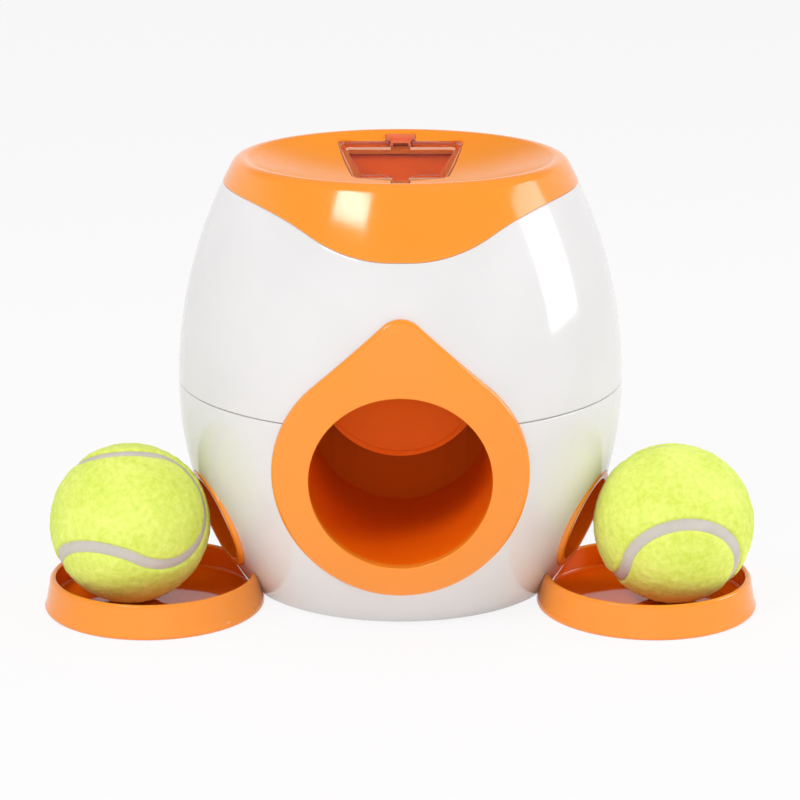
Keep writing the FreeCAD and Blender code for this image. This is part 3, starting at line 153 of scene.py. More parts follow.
def trim(piece, tools, operation="DIFFERENCE", sharp=35.0):
    """Cut closed tools out of a closed piece, or join them to it, and remove the tools."""
    for solid in tools:
        tool = link_mesh("tool", solid)
        step = piece.modifiers.new("trim", "BOOLEAN")
        step.operation, step.object, step.solver = operation, tool, "MANIFOLD"
        bpy.context.view_layer.update()
        evaluated = piece.evaluated_get(bpy.context.evaluated_depsgraph_get())
        old, result = piece.data, bpy.data.meshes.new_from_object(evaluated)
        piece.modifiers.remove(step)
        if len(result.polygons):
            result.name = old.name
            piece.data = result
        bpy.data.objects.remove(tool)
    finish_mesh(piece, sharp)


def paint(piece, material, inside):
    """Give another material to the faces whose centre, in millimetres, and normal pass a test."""
    mesh = piece.data
    mesh.materials.append(material)
    count = len(mesh.polygons)
    centres, normals, index = np.zeros(count * 3), np.zeros(count * 3), np.zeros(count, np.int32)
    mesh.polygons.foreach_get("center", centres)
    mesh.polygons.foreach_get("normal", normals)
    mesh.polygons.foreach_get("material_index", index)
    index[inside(centres.reshape(-1, 3) / MM, normals.reshape(-1, 3))] = len(mesh.materials) - 1
    mesh.polygons.foreach_set("material_index", index)


def loop_solid(rows):
    """Closed surface through closed rings of equal length, the last ring joined to the first."""
    rows = np.asarray(rows, float)
    return rows.reshape(-1, 3), grid_faces(rows.shape[0], rows.shape[1], True, True)


def capped_solid(rows):
    """Closed surface through rings of equal length, with a fan at both ends."""
    rows = np.asarray(rows, float)
    count, columns = rows.shape[:2]
    points = np.concatenate([rows.reshape(-1, 3), [rows[0].mean(0)], [rows[-1].mean(0)]])
    faces = grid_faces(count, columns).tolist()
    last = (count - 1) * columns
    for j in range(columns):
        k = (j + 1) % columns
        faces.append([k, j, count * columns])
        faces.append([last + j, last + k, count * columns + 1])
    return points, faces


def arc_points(centre, radius, first, last, count):
    """Points (a, b) on a circle of the given centre, from one angle to another in degrees."""
    t = np.radians(np.linspace(first, last, count))
    return [(centre[0] + radius * math.cos(a), centre[1] + radius * math.sin(a)) for a in t]


def quarter(count, size):
    """Points of a quarter round between two faces: how far each point lies inside the one and the other."""
    turn = np.radians(np.linspace(0, 90, count))
    return [(size * (1 - math.cos(a)), size * (1 - math.sin(a))) for a in turn]


def unit(vectors):
    """The same directions, each one long."""
    return vectors / np.linalg.norm(vectors, axis=-1, keepdims=True)


def turn_matrix(vector):
    """Rotation matrix about a vector by its length in radians (Rodrigues)."""
    vector = np.asarray(vector, float)
    angle = np.linalg.norm(vector)
    x, y, z = vector / angle
    k = np.array([[0, -z, y], [z, 0, -x], [-y, x, 0]])
    return np.eye(3) + math.sin(angle) * k + (1 - math.cos(angle)) * k @ k


def random_lattice(points, cell, seed):
    """Smooth random heights from -1 to 1: a random value at each lattice corner, blended between them."""
    size = 64
    table = np.random.default_rng(seed).uniform(-1, 1, (size, size, size))
    p = np.asarray(points, float) / cell
    low = np.floor(p).astype(int)
    t = p - low
    t = t * t * (3 - 2 * t)
    total = 0.0
    for corner in np.ndindex(2, 2, 2):
        weight = np.where(corner, t, 1 - t).prod(1)
        total = total + weight * table[tuple((low + corner).T % size)]
    return total


# -------------------- forms of the object
def barrel_r(z, offset=0.0):
    """Radius of the barrel's skin at a height: two arcs that meet at the belly, moved out by an offset."""
    z = np.asarray(z, float)
    bend = np.where(z > BELLY_Z, UPPER_ARC_R, LOWER_ARC_R)
    return BELLY_R - bend + np.sqrt((bend + offset) ** 2 - (z - BELLY_Z) ** 2)


def on_barrel(x, z, offset):
    """Point of the barrel's front skin over (x, z)."""
    x, z = np.asarray(x, float), np.asarray(z, float)
    return np.stack([x, -np.sqrt(np.maximum(barrel_r(z, offset) ** 2 - x * x, 0)), z], -1)


def round_points(radius, z, angles):
    """Points at a radius and a height for each angle from -Y, turning to +X."""
    radius, z = radius + 0 * angles, z + 0 * angles
    return np.stack([radius * np.sin(angles), -radius * np.cos(angles), z], -1)


def wave_z(x):
    """Height of the wavy joint: level at the middle, an arc up, an opposite arc, and level again."""
    x = np.abs(np.asarray(x, float))
    rise, run = WAVE_HIGH_Z - WAVE_LOW_Z, WAVE_REACH - WAVE_FLAT
    swing = 2 * math.atan(rise / run)
    high_r = run / math.sin(swing) - WAVE_LOW_R
    turn = WAVE_FLAT + WAVE_LOW_R * math.sin(swing)
    low_arc = WAVE_LOW_Z + WAVE_LOW_R - np.sqrt(np.maximum(WAVE_LOW_R ** 2 - (x - WAVE_FLAT) ** 2, 0))
    high_arc = WAVE_HIGH_Z - high_r + np.sqrt(np.maximum(high_r ** 2 - (WAVE_REACH - x) ** 2, 0))
    z = np.where(x < WAVE_FLAT, WAVE_LOW_Z, np.where(x < turn, low_arc, high_arc))
    return np.where(x > WAVE_REACH, WAVE_HIGH_Z, z)


def wave_round(angles):
    """Height of the wavy joint on the skin at each angle: the wave in front, level behind."""
    z = np.full(len(angles), WAVE_HIGH_Z)
    for _ in range(40):
        z = 0.5 * z + 0.5 * wave_z(barrel_r(z) * np.sin(angles))
    return np.where(np.cos(angles) > 0, z, WAVE_HIGH_Z)


def drop_outline(angles, offset, centre_z):
    """Reach of the surround's teardrop from (0, centre_z) at each angle from straight up.

    The teardrop is a big circle, a small one above it, and the two lines that touch both.
    Each ray ends on the line, or on the circle where its end lies past the line's own ends.
    """
    big, small = DROP_R + offset, DROP_TIP_R + offset
    tip_z = DROP_Z + DROP_TIP_RISE
    lean = math.asin((DROP_R - DROP_TIP_R) / DROP_TIP_RISE)
    way = np.stack([np.sin(angles), np.cos(angles)], -1)

    def circle(cz, r):
        """Far crossing of each ray with a circle centred on the middle line."""
        b = way[:, 1] * (cz - centre_z)
        inside = b * b - (cz - centre_z) ** 2 + r * r
        return np.where(inside >= 0, b + np.sqrt(np.maximum(inside, 0)), -1.0)

    side = np.stack([np.sign(np.sin(angles)) * math.cos(lean), np.full(len(angles), math.sin(lean))], -1)
    gap = big + side[:, 1] * (DROP_Z - centre_z)
    steep = (way * side).sum(1)
    flank = np.where(steep > 1e-6, gap / np.maximum(steep, 1e-6), 1e9)
    z_flank = centre_z + flank * way[:, 1]
    reach = np.where(z_flank < DROP_Z + big * math.sin(lean), circle(DROP_Z, big), flank)
    on_tip = (z_flank > tip_z + small * math.sin(lean)) | (way[:, 1] > 0.9999)
    return np.where(on_tip, np.maximum(circle(tip_z, small), 0), reach)


def drop_prism():
    """The housings' opening as a block through the front wall: the teardrop less the plate's overlap."""
    angles = np.linspace(0, 2 * math.pi, 240, endpoint=False)
    reach = drop_outline(angles, -SURROUND_OVERLAP, DROP_Z)
    x, z = reach * np.sin(angles), DROP_Z + reach * np.cos(angles)
    return capped_solid([np.stack([x, np.full_like(x, y), z], -1) for y in (-30.0, -140.0)])


def spout_frame(side):
    """Middle of a spout's face, its direction, and two directions across it."""
    radius = float(barrel_r(SPOUT_Z)) - SPOUT_SINK
    out = np.array([side * math.cos(BEARING), -math.sin(BEARING), 0.0])
    face = radius * out + SPOUT_Z * Z_WAY
    way = math.cos(SPOUT_TILT) * out - math.sin(SPOUT_TILT) * Z_WAY
    across = unit(np.cross(way, Z_WAY))
    return face, way, across, np.cross(across, way)


def round_about(profile, origin, way, across, up, columns):
    """Rings about an axis for profile points (radius, distance along the axis)."""
    t = np.linspace(0, 2 * math.pi, columns, endpoint=False)[:, None]
    return [origin + way * a + r * (np.cos(t) * across + np.sin(t) * up) for r, a in profile]


def bore_point(y, angles, radius):
    """Points round the ball tube's axis, which rises to the back, at each angle from straight up."""
    y = np.asarray(y, float) + 0 * angles
    centre = BORE_Z + (y + float(barrel_r(BORE_Z))) * math.tan(math.radians(BORE_SLOPE))
    return np.stack([radius * np.sin(angles), y, centre + radius * np.cos(angles)], -1)


# -------------------- node groups and materials
def fill(tree, target, value):
    """Link a socket to an input, or set the input's own value."""
    if isinstance(value, bpy.types.NodeSocket):
        tree.links.new(value, target)
    else:
        target.default_value = value


def node(tree, kind, first=(), **values):
    """A node: its first inputs in order, and its other inputs and its settings by name."""
    made = tree.nodes.new(kind)
    for name, value in values.items():
        target = name.replace("_", " ")
        if target in made.inputs:
            fill(tree, made.inputs[target], value)
        else:
            setattr(made, name, value)
    for place, value in enumerate(first):
        fill(tree, made.inputs[place], value)
    return made


def noise(tree, scale, detail, roughness=0.5):
    """Noise on the piece's own coordinates."""
    place = node(tree, "ShaderNodeTexCoord").outputs["Object"]
    made = node(tree, "ShaderNodeTexNoise", Vector=place, Scale=scale, Detail=detail, Roughness=roughness)
    return made.outputs["Fac"]


def blend(tree, share, first, second):
    """A colour between two others, by a share from 0 to 1."""
    mix = node(tree, "ShaderNodeMix", [share], data_type="RGBA")
    fill(tree, mix.inputs[6], (*first, 1))
    fill(tree, mix.inputs[7], (*second, 1))
    return mix.outputs[2]


def shade_of(colour, factor):
    """A darker or lighter copy of a colour, no channel above 1."""
    return [min(1.0, c * factor) for c in colour]


def bump(tree, height, strength, distance):
    """Normal of a surface with a height on it."""
    return node(tree, "ShaderNodeBump", Height=height, Strength=strength, Distance=distance).outputs["Normal"]


def new_material(name, **values):
    """A material, its node tree and its Principled shader's inputs, some of them set by name."""
    made = bpy.data.materials.new(name)
    made.use_nodes = True
    inputs = made.node_tree.nodes["Principled BSDF"].inputs
    for key, value in values.items():
        inputs[key.replace("_", " ")].default_value = value
    return made, made.node_tree, inputs


def moulding_group():
    """Shared node group of moulded plastic: a slow change of tone, uneven gloss and a faint orange peel."""
    group = bpy.data.node_groups.new("moulding", "ShaderNodeTree")
    ends = [("INPUT", "Peel", "Float"), ("INPUT", "Roughness", "Float"), ("INPUT", "Tint", "Color"),
            ("OUTPUT", "Color", "Color"), ("OUTPUT", "Roughness", "Float"), ("OUTPUT", "Normal", "Vector")]
    for way, name, kind in ends:
        group.interface.new_socket(name, in_out=way, socket_type="NodeSocket" + kind)
    enter = group.nodes.new("NodeGroupInput").outputs
    leave = group.nodes.new("NodeGroupOutput").inputs
    tone = node(group, "ShaderNodeMapRange", Value=noise(group, 22.0, 2.0),
                From_Min=0.3, From_Max=0.7, To_Min=0.965, To_Max=1.02).outputs["Result"]
    shade = node(group, "ShaderNodeVectorMath", [enter["Tint"]], operation="SCALE", Scale=tone)
    fill(group, leave["Color"], shade.outputs["Vector"])
    spread = node(group, "ShaderNodeMapRange", Value=noise(group, 160.0, 5.0, 0.7),
                  From_Min=0.35, From_Max=0.7, To_Min=0.85, To_Max=1.35).outputs["Result"]
    rough = node(group, "ShaderNodeMath", [enter["Roughness"], spread], operation="MULTIPLY")
    fill(group, leave["Roughness"], rough.outputs["Value"])
    fill(group, leave["Normal"], bump(group, noise(group, 900.0, 2.0), enter["Peel"], 0.0002))
    return group


def plastic(name, colour, roughness=0.2, peel=0.05, **shader):
    """Moulded plastic: a Principled shader fed by the moulding group."""
    made, tree, inputs = new_material(name, **shader)
    mould = node(tree, "ShaderNodeGroup", node_tree=MOULDING,
                 Tint=(*colour, 1), Peel=peel, Roughness=roughness).outputs
    fill(tree, inputs["Base Color"], mould["Color"])
    fill(tree, inputs["Roughness"], mould["Roughness"])
    fill(tree, inputs["Normal"], mould["Normal"])
    return made


def metal(name, colour, roughness):
    """Zinc or steel: metal with fine turning marks."""
    made, tree, inputs = new_material(name, Metallic=1.0)
    marks = noise(tree, 700.0, 4.0)
    tone = node(tree, "ShaderNodeMapRange", Value=marks, To_Min=roughness * 0.7, To_Max=roughness * 1.4)
    fill(tree, inputs["Base Color"], blend(tree, marks, shade_of(colour, 0.85), colour))
    fill(tree, inputs["Roughness"], tone.outputs["Result"])
    fill(tree, inputs["Normal"], bump(tree, marks, 0.1, 0.0001))
    return made


def rubber(name, colour, roughness):
    """Matt rubber with a fine pitted surface."""
    made, tree, inputs = new_material(name, Roughness=roughness)
    stain = noise(tree, 120.0, 4.0)
    fill(tree, inputs["Base Color"], blend(tree, stain, shade_of(colour, 0.82), shade_of(colour, 1.1)))
    fill(tree, inputs["Normal"], bump(tree, noise(tree, 1400.0, 3.0), 0.25, 0.0002))
    return made


def felt_material(name, deep, pale):
    """Wool felt: a deep and a pale yellow-green mixed by matted noise, with sheen and a woolly bump."""
    made, tree, inputs = new_material(name, Roughness=0.95, Specular_IOR_Level=0.15, Sheen_Weight=0.25,
                                      Sheen_Roughness=0.5, Sheen_Tint=(0.95, 1.0, 0.6, 1))
    matted = noise(tree, 420.0, 5.0, 0.65)
    both = node(tree, "ShaderNodeMath", [noise(tree, 60.0, 3.0), 0.6, matted], operation="MULTIPLY_ADD")
    level = node(tree, "ShaderNodeMapRange", Value=both.outputs["Value"], From_Min=0.55, From_Max=1.05)
    fill(tree, inputs["Base Color"], blend(tree, level.outputs["Result"], deep, pale))
    fill(tree, inputs["Normal"], bump(tree, matted, 0.5, 0.0006))
    return made


def clear_material(name, colour, roughness, clearness):
    """Clear moulded plastic with slightly wavy faces. Clearness is the share of light let through."""
    made, tree, inputs = new_material(name, Base_Color=(*colour, 1), Roughness=roughness,
                                      Transmission_Weight=clearness, IOR=1.15)
    fill(tree, inputs["Normal"], bump(tree, noise(tree, 70.0, 2.0), 0.15, 0.001))
    return made


MOULDING = moulding_group()
ORANGE = (0.95, 0.298, 0.026)
# Painted shade: a darker, redder copy of ORANGE, for insides that lie in shade.
SHADED_ORANGE = (0.97, 0.175, 0.003)
WHITE = plastic("white plastic", (0.76, 0.745, 0.745), 0.11, 0.03, Coat_Weight=0.2, Coat_Roughness=0.05)
ORANGE_GLOSS = plastic("orange plastic", ORANGE, 0.12, 0.03)
# Orange with painted shade, for the bores, the ledge under the lid and the inner parts.
ORANGE_SHADE_PAINTED = plastic("orange plastic with painted shade", SHADED_ORANGE, 0.16, 0.03, Specular_IOR_Level=0.06)
# Orange with deeper painted shade, for the wall behind the ball.
ORANGE_DEEP_SHADE_PAINTED = plastic("orange plastic with painted deep shade", (0.60, 0.095, 0.003), 0.16, 0.03, Specular_IOR_Level=0.06)
ORANGE_BOWL = plastic("bowl orange plastic", (0.95, 0.295, 0.014), 0.2, 0.03, Specular_IOR_Level=0.2)
# Glossy orange with painted shade, for the dishes' floors and inner walls.
ORANGE_FLOOR_SHADE_PAINTED = plastic("dish orange plastic with painted shade", SHADED_ORANGE, 0.06, 0.02, Specular_IOR_Level=0.35)
GREY = plastic("grey plastic", (0.33, 0.33, 0.34), 0.4, 0.1)
BUSH = plastic("bush plastic", (0.72, 0.69, 0.6), 0.45, 0.08)
CLEAR = clear_material("clear plastic", (1.0, 0.80, 0.72), 0.04, 1.0)
# Paler, less clear plastic on the lid's edge faces: a painted highlight for its light outlines.
EDGE_HIGHLIGHT_PAINTED = clear_material("lid edge plastic with painted highlight", (1.0, 0.66, 0.48), 0.3, 0.25)
# Hinge barrel and neck: painted shade, a dark, mostly opaque red-orange for the shaded inside seen through
# clear plastic.
HINGE_SHADE_PAINTED = clear_material("hinge plastic with painted shade", (0.86, 0.19, 0.08), 0.15, 0.1)
BLACK_RUBBER = rubber("black rubber", (0.03, 0.03, 0.032), 0.75)
ZINC = metal("zinc steel", (0.72, 0.72, 0.7), 0.3)
STEEL = metal("bright steel", (0.78, 0.78, 0.79), 0.18)
SEAM = rubber("seam rubber", (0.62, 0.575, 0.53), 0.7)
CORE = rubber("core rubber", (0.22, 0.2, 0.19), 0.8)
FELT = felt_material("felt", (0.64, 0.77, 0.085), (0.86, 0.95, 0.23))
FUZZ = felt_material("felt fuzz", (0.75, 0.88, 0.15), (0.92, 0.99, 0.30))

SLOT_MATERIALS = {
    "white_plastic": WHITE, "orange_plastic": ORANGE_GLOSS, "grey_plastic": GREY, "clear_plastic": CLEAR,
    "bush_plastic": BUSH, "black_rubber": BLACK_RUBBER, "zinc_steel": ZINC, "steel_pin": STEEL,
    "ball_rubber": CORE, "felt": FELT, "seam_rubber": SEAM,
}
# Inner parts, seen through the ball tube and the lid, get painted shade.
NODE_MATERIALS = {
    "paddle": ORANGE_SHADE_PAINTED, "ball_well_back": ORANGE_DEEP_SHADE_PAINTED, "hopper": ORANGE_SHADE_PAINTED, "treat_chute": ORANGE_SHADE_PAINTED,
}


def dress_nodes():
    """Give each CAD node the material of its record's slot, or, for the inner parts listed in NODE_MATERIALS,
    orange with painted shade.
    """
    slots = {s["node"]: s["material_slot"] for s in frame["record"]["subparts"]}
    for name, piece in frame["nodes"].items():
        material = NODE_MATERIALS.get(name) or SLOT_MATERIALS.get(slots.get(name), GREY)
        piece.data.materials.clear()
        piece.data.materials.append(material)


# -------------------- barrel
def shell_rows(angles, low, high, thick, edge, levels):
    """Rings of a wall between two heights: skin, rounded top edge, inside, and rounded bottom edge."""
    soft = quarter(5, edge)
    skin = [low + edge + t * (high - low - 2 * edge) for t in np.linspace(0, 1, levels)]
    inside = [low + t * (high - low) for t in np.linspace(1, 0, max(levels // 3, 6))]
    rings = [(0.0, z) for z in skin] + [(-a, high - b) for a, b in soft[1:]]
    rings += [(-thick, z) for z in inside] + [(-a, low + b) for a, b in soft[:0:-1]]
    return [round_points(barrel_r(z, off), z, angles) for off, z in rings]


def build_housings():
    """Both white halves of the barrel, with their openings, and the ring that centres them on each other."""
    angles = np.linspace(0, 2 * math.pi, PLACES, endpoint=False)
    level = np.zeros(PLACES)
    opening = drop_prism()
    rows = shell_rows(angles, level + FOOT_PROUD, level + PARTING_Z - PARTING_GAP, WALL, 0.5, 60)
    lower = make_piece("housing_lower", loop_solid(rows), "machine", "white_plastic", ["lower_housing"])
    hole = [(SPOUT_R + SPOUT_GAP, -SPOUT_LENGTH), (SPOUT_R + SPOUT_GAP, SPOUT_LENGTH)]
    spout_holes = [capped_solid(round_about(hole, *spout_frame(side), 180)) for side in (-1, 1)]
    trim(lower, [opening] + spout_holes)
    rows = shell_rows(angles, level + PARTING_Z + PARTING_GAP, wave_round(angles) - WAVE_GAP, WALL, 0.4, 56)
    upper = make_piece("housing_upper", loop_solid(rows), "machine", "white_plastic", ["upper_housing"])
    trim(upper, [opening])
    rows = shell_rows(angles, level + PARTING_Z - RING_HALF, level + PARTING_Z + RING_HALF, RING_WALL, 0.2, 4)
    solid = loop_solid(np.array(rows) * [RING_SHRINK, RING_SHRINK, 1.0])
    band = make_piece("housing_locating_ring", solid, "machine", "white_plastic")
    trim(band, [opening])


# -------------------- top
def lid_z(y):
    """Height of the lid's top face."""
    return LID_BACK_Z + (y - LID_BACK_Y) * math.tan(LID_TILT)


def lid_y(along):
    """Place along Y at a distance forward of the lid's back edge, measured on its face."""
    return LID_BACK_Y - along * math.cos(LID_TILT)


def rounded(corners, radii, steps):
    """Outline with each corner replaced by an arc of its radius."""
    corners = np.asarray(corners, float)
    out = []
    for i, (corner, r) in enumerate(zip(corners, radii)):
        back, on = unit(corners[i - 1] - corner), unit(corners[(i + 1) % len(corners)] - corner)
        half = math.acos(float(np.clip(back @ on, -1, 1))) / 2
        middle = corner + unit(back + on) * r / math.sin(half)
        a, b = corner + back * r / math.tan(half) - middle, corner + on * r / math.tan(half) - middle
        sweep = math.acos(float(np.clip(a @ b / r / r, -1, 1)))
        for t in np.linspace(0, 1, steps):
            out.append(middle + (math.sin((1 - t) * sweep) * a + math.sin(t * sweep) * b) / math.sin(sweep))
    return np.array(out)


def ray_reach(outline, angles):
    """Distance from the middle of the lid to a closed outline along each angle from +Y, turning to +X."""
    rel = outline - LID_MIDDLE
    side = np.roll(rel, -1, axis=0) - rel
    reach = np.zeros(len(angles))
    for k, a in enumerate(angles):
        way = np.array([math.sin(a), math.cos(a)])
        det = side[:, 1] * way[0] - side[:, 0] * way[1]
        with np.errstate(divide="ignore", invalid="ignore"):
            s = (rel[:, 0] * way[1] - rel[:, 1] * way[0]) / det
            t = (side[:, 1] * rel[:, 0] - side[:, 0] * rel[:, 1]) / det
        good = (s >= -1e-9) & (s <= 1 + 1e-9) & (t > 0)
        reach[k] = np.max(t[good])
    return reach


def bed_outline():
    """Inner edge of the ledge: the lid's trapezoid in plan, less the ledge's width."""
    back, front = LID_BACK_W / 2 - LID_LEDGE, LID_FRONT_W / 2 - LID_LEDGE
    y0, y1 = lid_y(LID_LENGTH - LID_LEDGE), lid_y(LID_LEDGE)
    return rounded([(-back, y1), (back, y1), (front, y0), (-front, y0)], [1.5] * 4, 7)


def lid_corners(back, front, y0, y1, neck, neck_y, tab, tab_y):
    """Corners of a trapezoid with a neck behind it and a tab in front, clockwise from the back left."""
    return [(-back, y1), (-neck, y1), (-neck, neck_y), (neck, neck_y), (neck, y1), (back, y1), (front, y0),
            (tab, y0), (tab, tab_y), (-tab, tab_y), (-tab, y0), (-front, y0)]


def recess_outline():
    """The dish's recess in plan: the lid's outline grown by the gap, with a notch for the hinge barrel."""
    corners = lid_corners(LID_BACK_W / 2 + NOTCH_GAP, LID_FRONT_W / 2 + NOTCH_GAP,
                          lid_y(LID_LENGTH + NOTCH_GAP), lid_y(-NOTCH_GAP),
                          HINGE_HALF + NOTCH_GAP, HINGE_Y + HINGE_R + NOTCH_GAP,
                          TAB_W / 2 + NOTCH_GAP, lid_y(LID_LENGTH + TAB_LONG + NOTCH_GAP))
    return rounded(corners, [2.9, 0.3, 0.6, 0.6, 0.3, 2.9, 2.9, 0.4, 0.8, 0.8, 0.4, 2.9], 5)


def rim_shape():
    """Place of the rolled rim's round, from the middle and from the floor, and radius of the dish's bowl."""
    roll_z = RIM_Z - RIM_ROUND
    crest = BELLY_R - UPPER_ARC_R + math.sqrt((UPPER_ARC_R - RIM_ROUND) ** 2 - (roll_z - BELLY_Z) ** 2)
    fall = roll_z - DISH_FLOOR_Z
    bowl = (crest ** 2 + fall ** 2 - RIM_ROUND ** 2) / (2 * (fall + RIM_ROUND))
    return crest, roll_z, bowl


def dish_height(radius):
    """Height of the dish at a distance from the middle: a bowl whose bottom is the dish's floor."""
    bowl = rim_shape()[2]
    return DISH_FLOOR_Z + bowl - np.sqrt(bowl ** 2 - np.asarray(radius, float) ** 2)


def ledge_z(xy):
    """Height of the ledge: parallel to the lid, and level in the hinge notch."""
    z = lid_z(xy[:, 1]) - LID_THICK - LID_UNDER_GAP
    return np.where(xy[:, 1] > LID_BACK_Y + NOTCH_GAP, np.minimum(z, HINGE_Z - HINGE_R - NOTCH_GAP), z)


def build_top():
    """The orange top as one closed surface: recess, dish, rolled rim, wavy skirt, and its inside.

    Its rings lie on rays from the middle of the lid up to the rolled rim, and on the barrel's
    own angles from there on.
    """
    turns = corner_angles([recess_outline()], 720)
    way = np.stack([np.sin(turns), np.cos(turns)], -1)
    edge = ray_reach(recess_outline(), turns)
    ledge = np.minimum(ray_reach(bed_outline(), turns), edge - 0.2)
    crest, roll_z, bowl = rim_shape()
    out_way = unit(np.array([crest - (BELLY_R - UPPER_ARC_R), roll_z - BELLY_Z]))
    in_way = unit(np.array([-crest, DISH_FLOOR_Z + bowl - roll_z]))
    inner_r = crest + in_way[0] * RIM_ROUND
    half_way, pad_width, recess_soft, skirt_soft = 0.6, 2.4, 0.7, 0.35

    def ring(reach, height, drop=0.0):
        """Points at a reach along the rays, at the height that a function gives there, less a drop."""
        xy = LID_MIDDLE + way * reach[:, None]
        return np.concatenate([xy, (height(xy) - drop)[:, None]], 1)

    def bowl_z(xy):
        """Height of the bowl."""
        return dish_height(np.linalg.norm(xy, axis=1))

    def under_z(xy):
        """Height of the ledge's own underside."""
        return lid_z(xy[:, 1]) - LID_THICK - BEZEL_WALL

    rows = [ring(ledge, under_z), ring(ledge, ledge_z)]
    rows += [ring(ledge + half_way * (edge - ledge), ledge_z), ring(edge, ledge_z)]
    rows += [ring(edge + a, bowl_z, b) for a, b in quarter(5, recess_soft)]
    b = (way * LID_MIDDLE).sum(1)
    rim_reach = -b + np.sqrt(b * b - LID_MIDDLE @ LID_MIDDLE + inner_r ** 2)
    start = edge + recess_soft
    rows += [ring(start + (rim_reach - start) * t, bowl_z) for t in np.linspace(0, 1, 46)[1:]]
    angles = np.arctan2(rows[-1][:, 0], -rows[-1][:, 1])
    first, last = math.atan2(in_way[1], in_way[0]), math.atan2(out_way[1], out_way[0])

    def roll(radius, places):
        """Rings on the rolled rim's round."""
        spots = [(crest + radius * math.cos(t), roll_z + radius * math.sin(t)) for t in places]
        return [round_points(reach, z, angles) for reach, z in spots]

    rows += roll(RIM_ROUND, np.linspace(first, last, 22)[1:])
    high = roll_z + RIM_ROUND * math.sin(last)
    low = wave_round(angles) + WAVE_GAP
    skirt = [(0.0, high + (low + skirt_soft - high) * t) for t in np.linspace(0, 1, 34)[1:]]
    skirt += [(-a, low + b) for a, b in quarter(4, skirt_soft)[1:]]
    skirt += [(-BEZEL_WALL, low + (roll_z - low) * t) for t in np.linspace(0, 1, 8)]
    rows += [round_points(barrel_r(z, off), z, angles) for off, z in skirt]
    rows += roll(RIM_ROUND - BEZEL_WALL, np.linspace(last, first, 6))
    pad = edge + pad_width
    rows += [ring(pad + (rim_reach - pad) * t, bowl_z, BEZEL_WALL) for t in np.linspace(1, 0, 10)[1:]]
    rows.append(ring(pad, ledge_z, BEZEL_WALL))
    top = make_piece("top", loop_solid(rows), "machine", "orange_plastic", ["top_bezel"], 32)

    def in_bowl(spots, normals):
        """Faces of the bowl, inside the rolled rim."""
        reach = np.hypot(spots[:, 0], spots[:, 1])
        return (reach < inner_r) & (spots[:, 2] > dish_height(reach) - 1.0)

    def painted_shade_bed(spots, normals):
        """The back ledge's inner half, which is seen through the lid's low panel and gets painted shade."""
        bed = (abs(spots[:, 2] - ledge_z(spots)) < 0.3) & (normals[:, 2] > 0.9)
        return bed & (spots[:, 1] < lid_y(1.2)) & (spots[:, 1] > lid_y(6.0))

    paint(top, ORANGE_BOWL, in_bowl)
    paint(top, ORANGE_SHADE_PAINTED, painted_shade_bed)


def lid_point(x, y, up):
    """Point of the lid over (x, y) at a height square to its top face."""
    x, y = np.asarray(x, float), np.asarray(y, float)
    return np.stack([x, y - up * math.sin(LID_TILT), lid_z(y) + up * math.cos(LID_TILT) + 0 * x], -1)


def panel_outline():
    """Edge of the lid's low panel: a trapezoid with a neck to the hinge and a channel to the finger tab."""
    corners = lid_corners(LID_BACK_W / 2 - LID_BORDER_W, LID_FRONT_W / 2 - LID_BORDER_W + 0.6,
                          lid_y(LID_LENGTH - LID_BORDER_W), lid_y(LID_BACK_BORDER),
                          PANEL_NECK_HALF, HINGE_Y - 0.6, PANEL_TAB_HALF, lid_y(LID_LENGTH + TAB_LONG - 0.8))
    return rounded(corners, [1.6, 0.5, 0.3, 0.3, 0.5, 1.6, 1.6, 5.0, 0.6, 0.6, 5.0, 1.6], 7)


def rim_outline():
    """Outer edge of the lid: the trapezoid with its neck and its finger tab."""
    corners = lid_corners(LID_BACK_W / 2, LID_FRONT_W / 2, lid_y(LID_LENGTH), lid_y(0.0), NECK_HALF, HINGE_Y,
                          TAB_W / 2, lid_y(LID_LENGTH + TAB_LONG))
    return rounded(corners, [2.5, 0.5, 0.2, 0.2, 0.5, 2.5, 2.5, 1.2, 1.2, 1.2, 1.2, 2.5], 7)


def corner_angles(outlines, count):
    """Even angles about the middle of the lid, some of them moved to meet the outlines' own corners."""
    even = np.linspace(0, 2 * math.pi, count, endpoint=False)
    for outline in outlines:
        rel = outline - LID_MIDDLE
        for t in np.mod(np.arctan2(rel[:, 0], rel[:, 1]), 2 * math.pi):
            even[np.argmin(np.abs(np.angle(np.exp(1j * (even - t)))))] = t
    return np.sort(even)


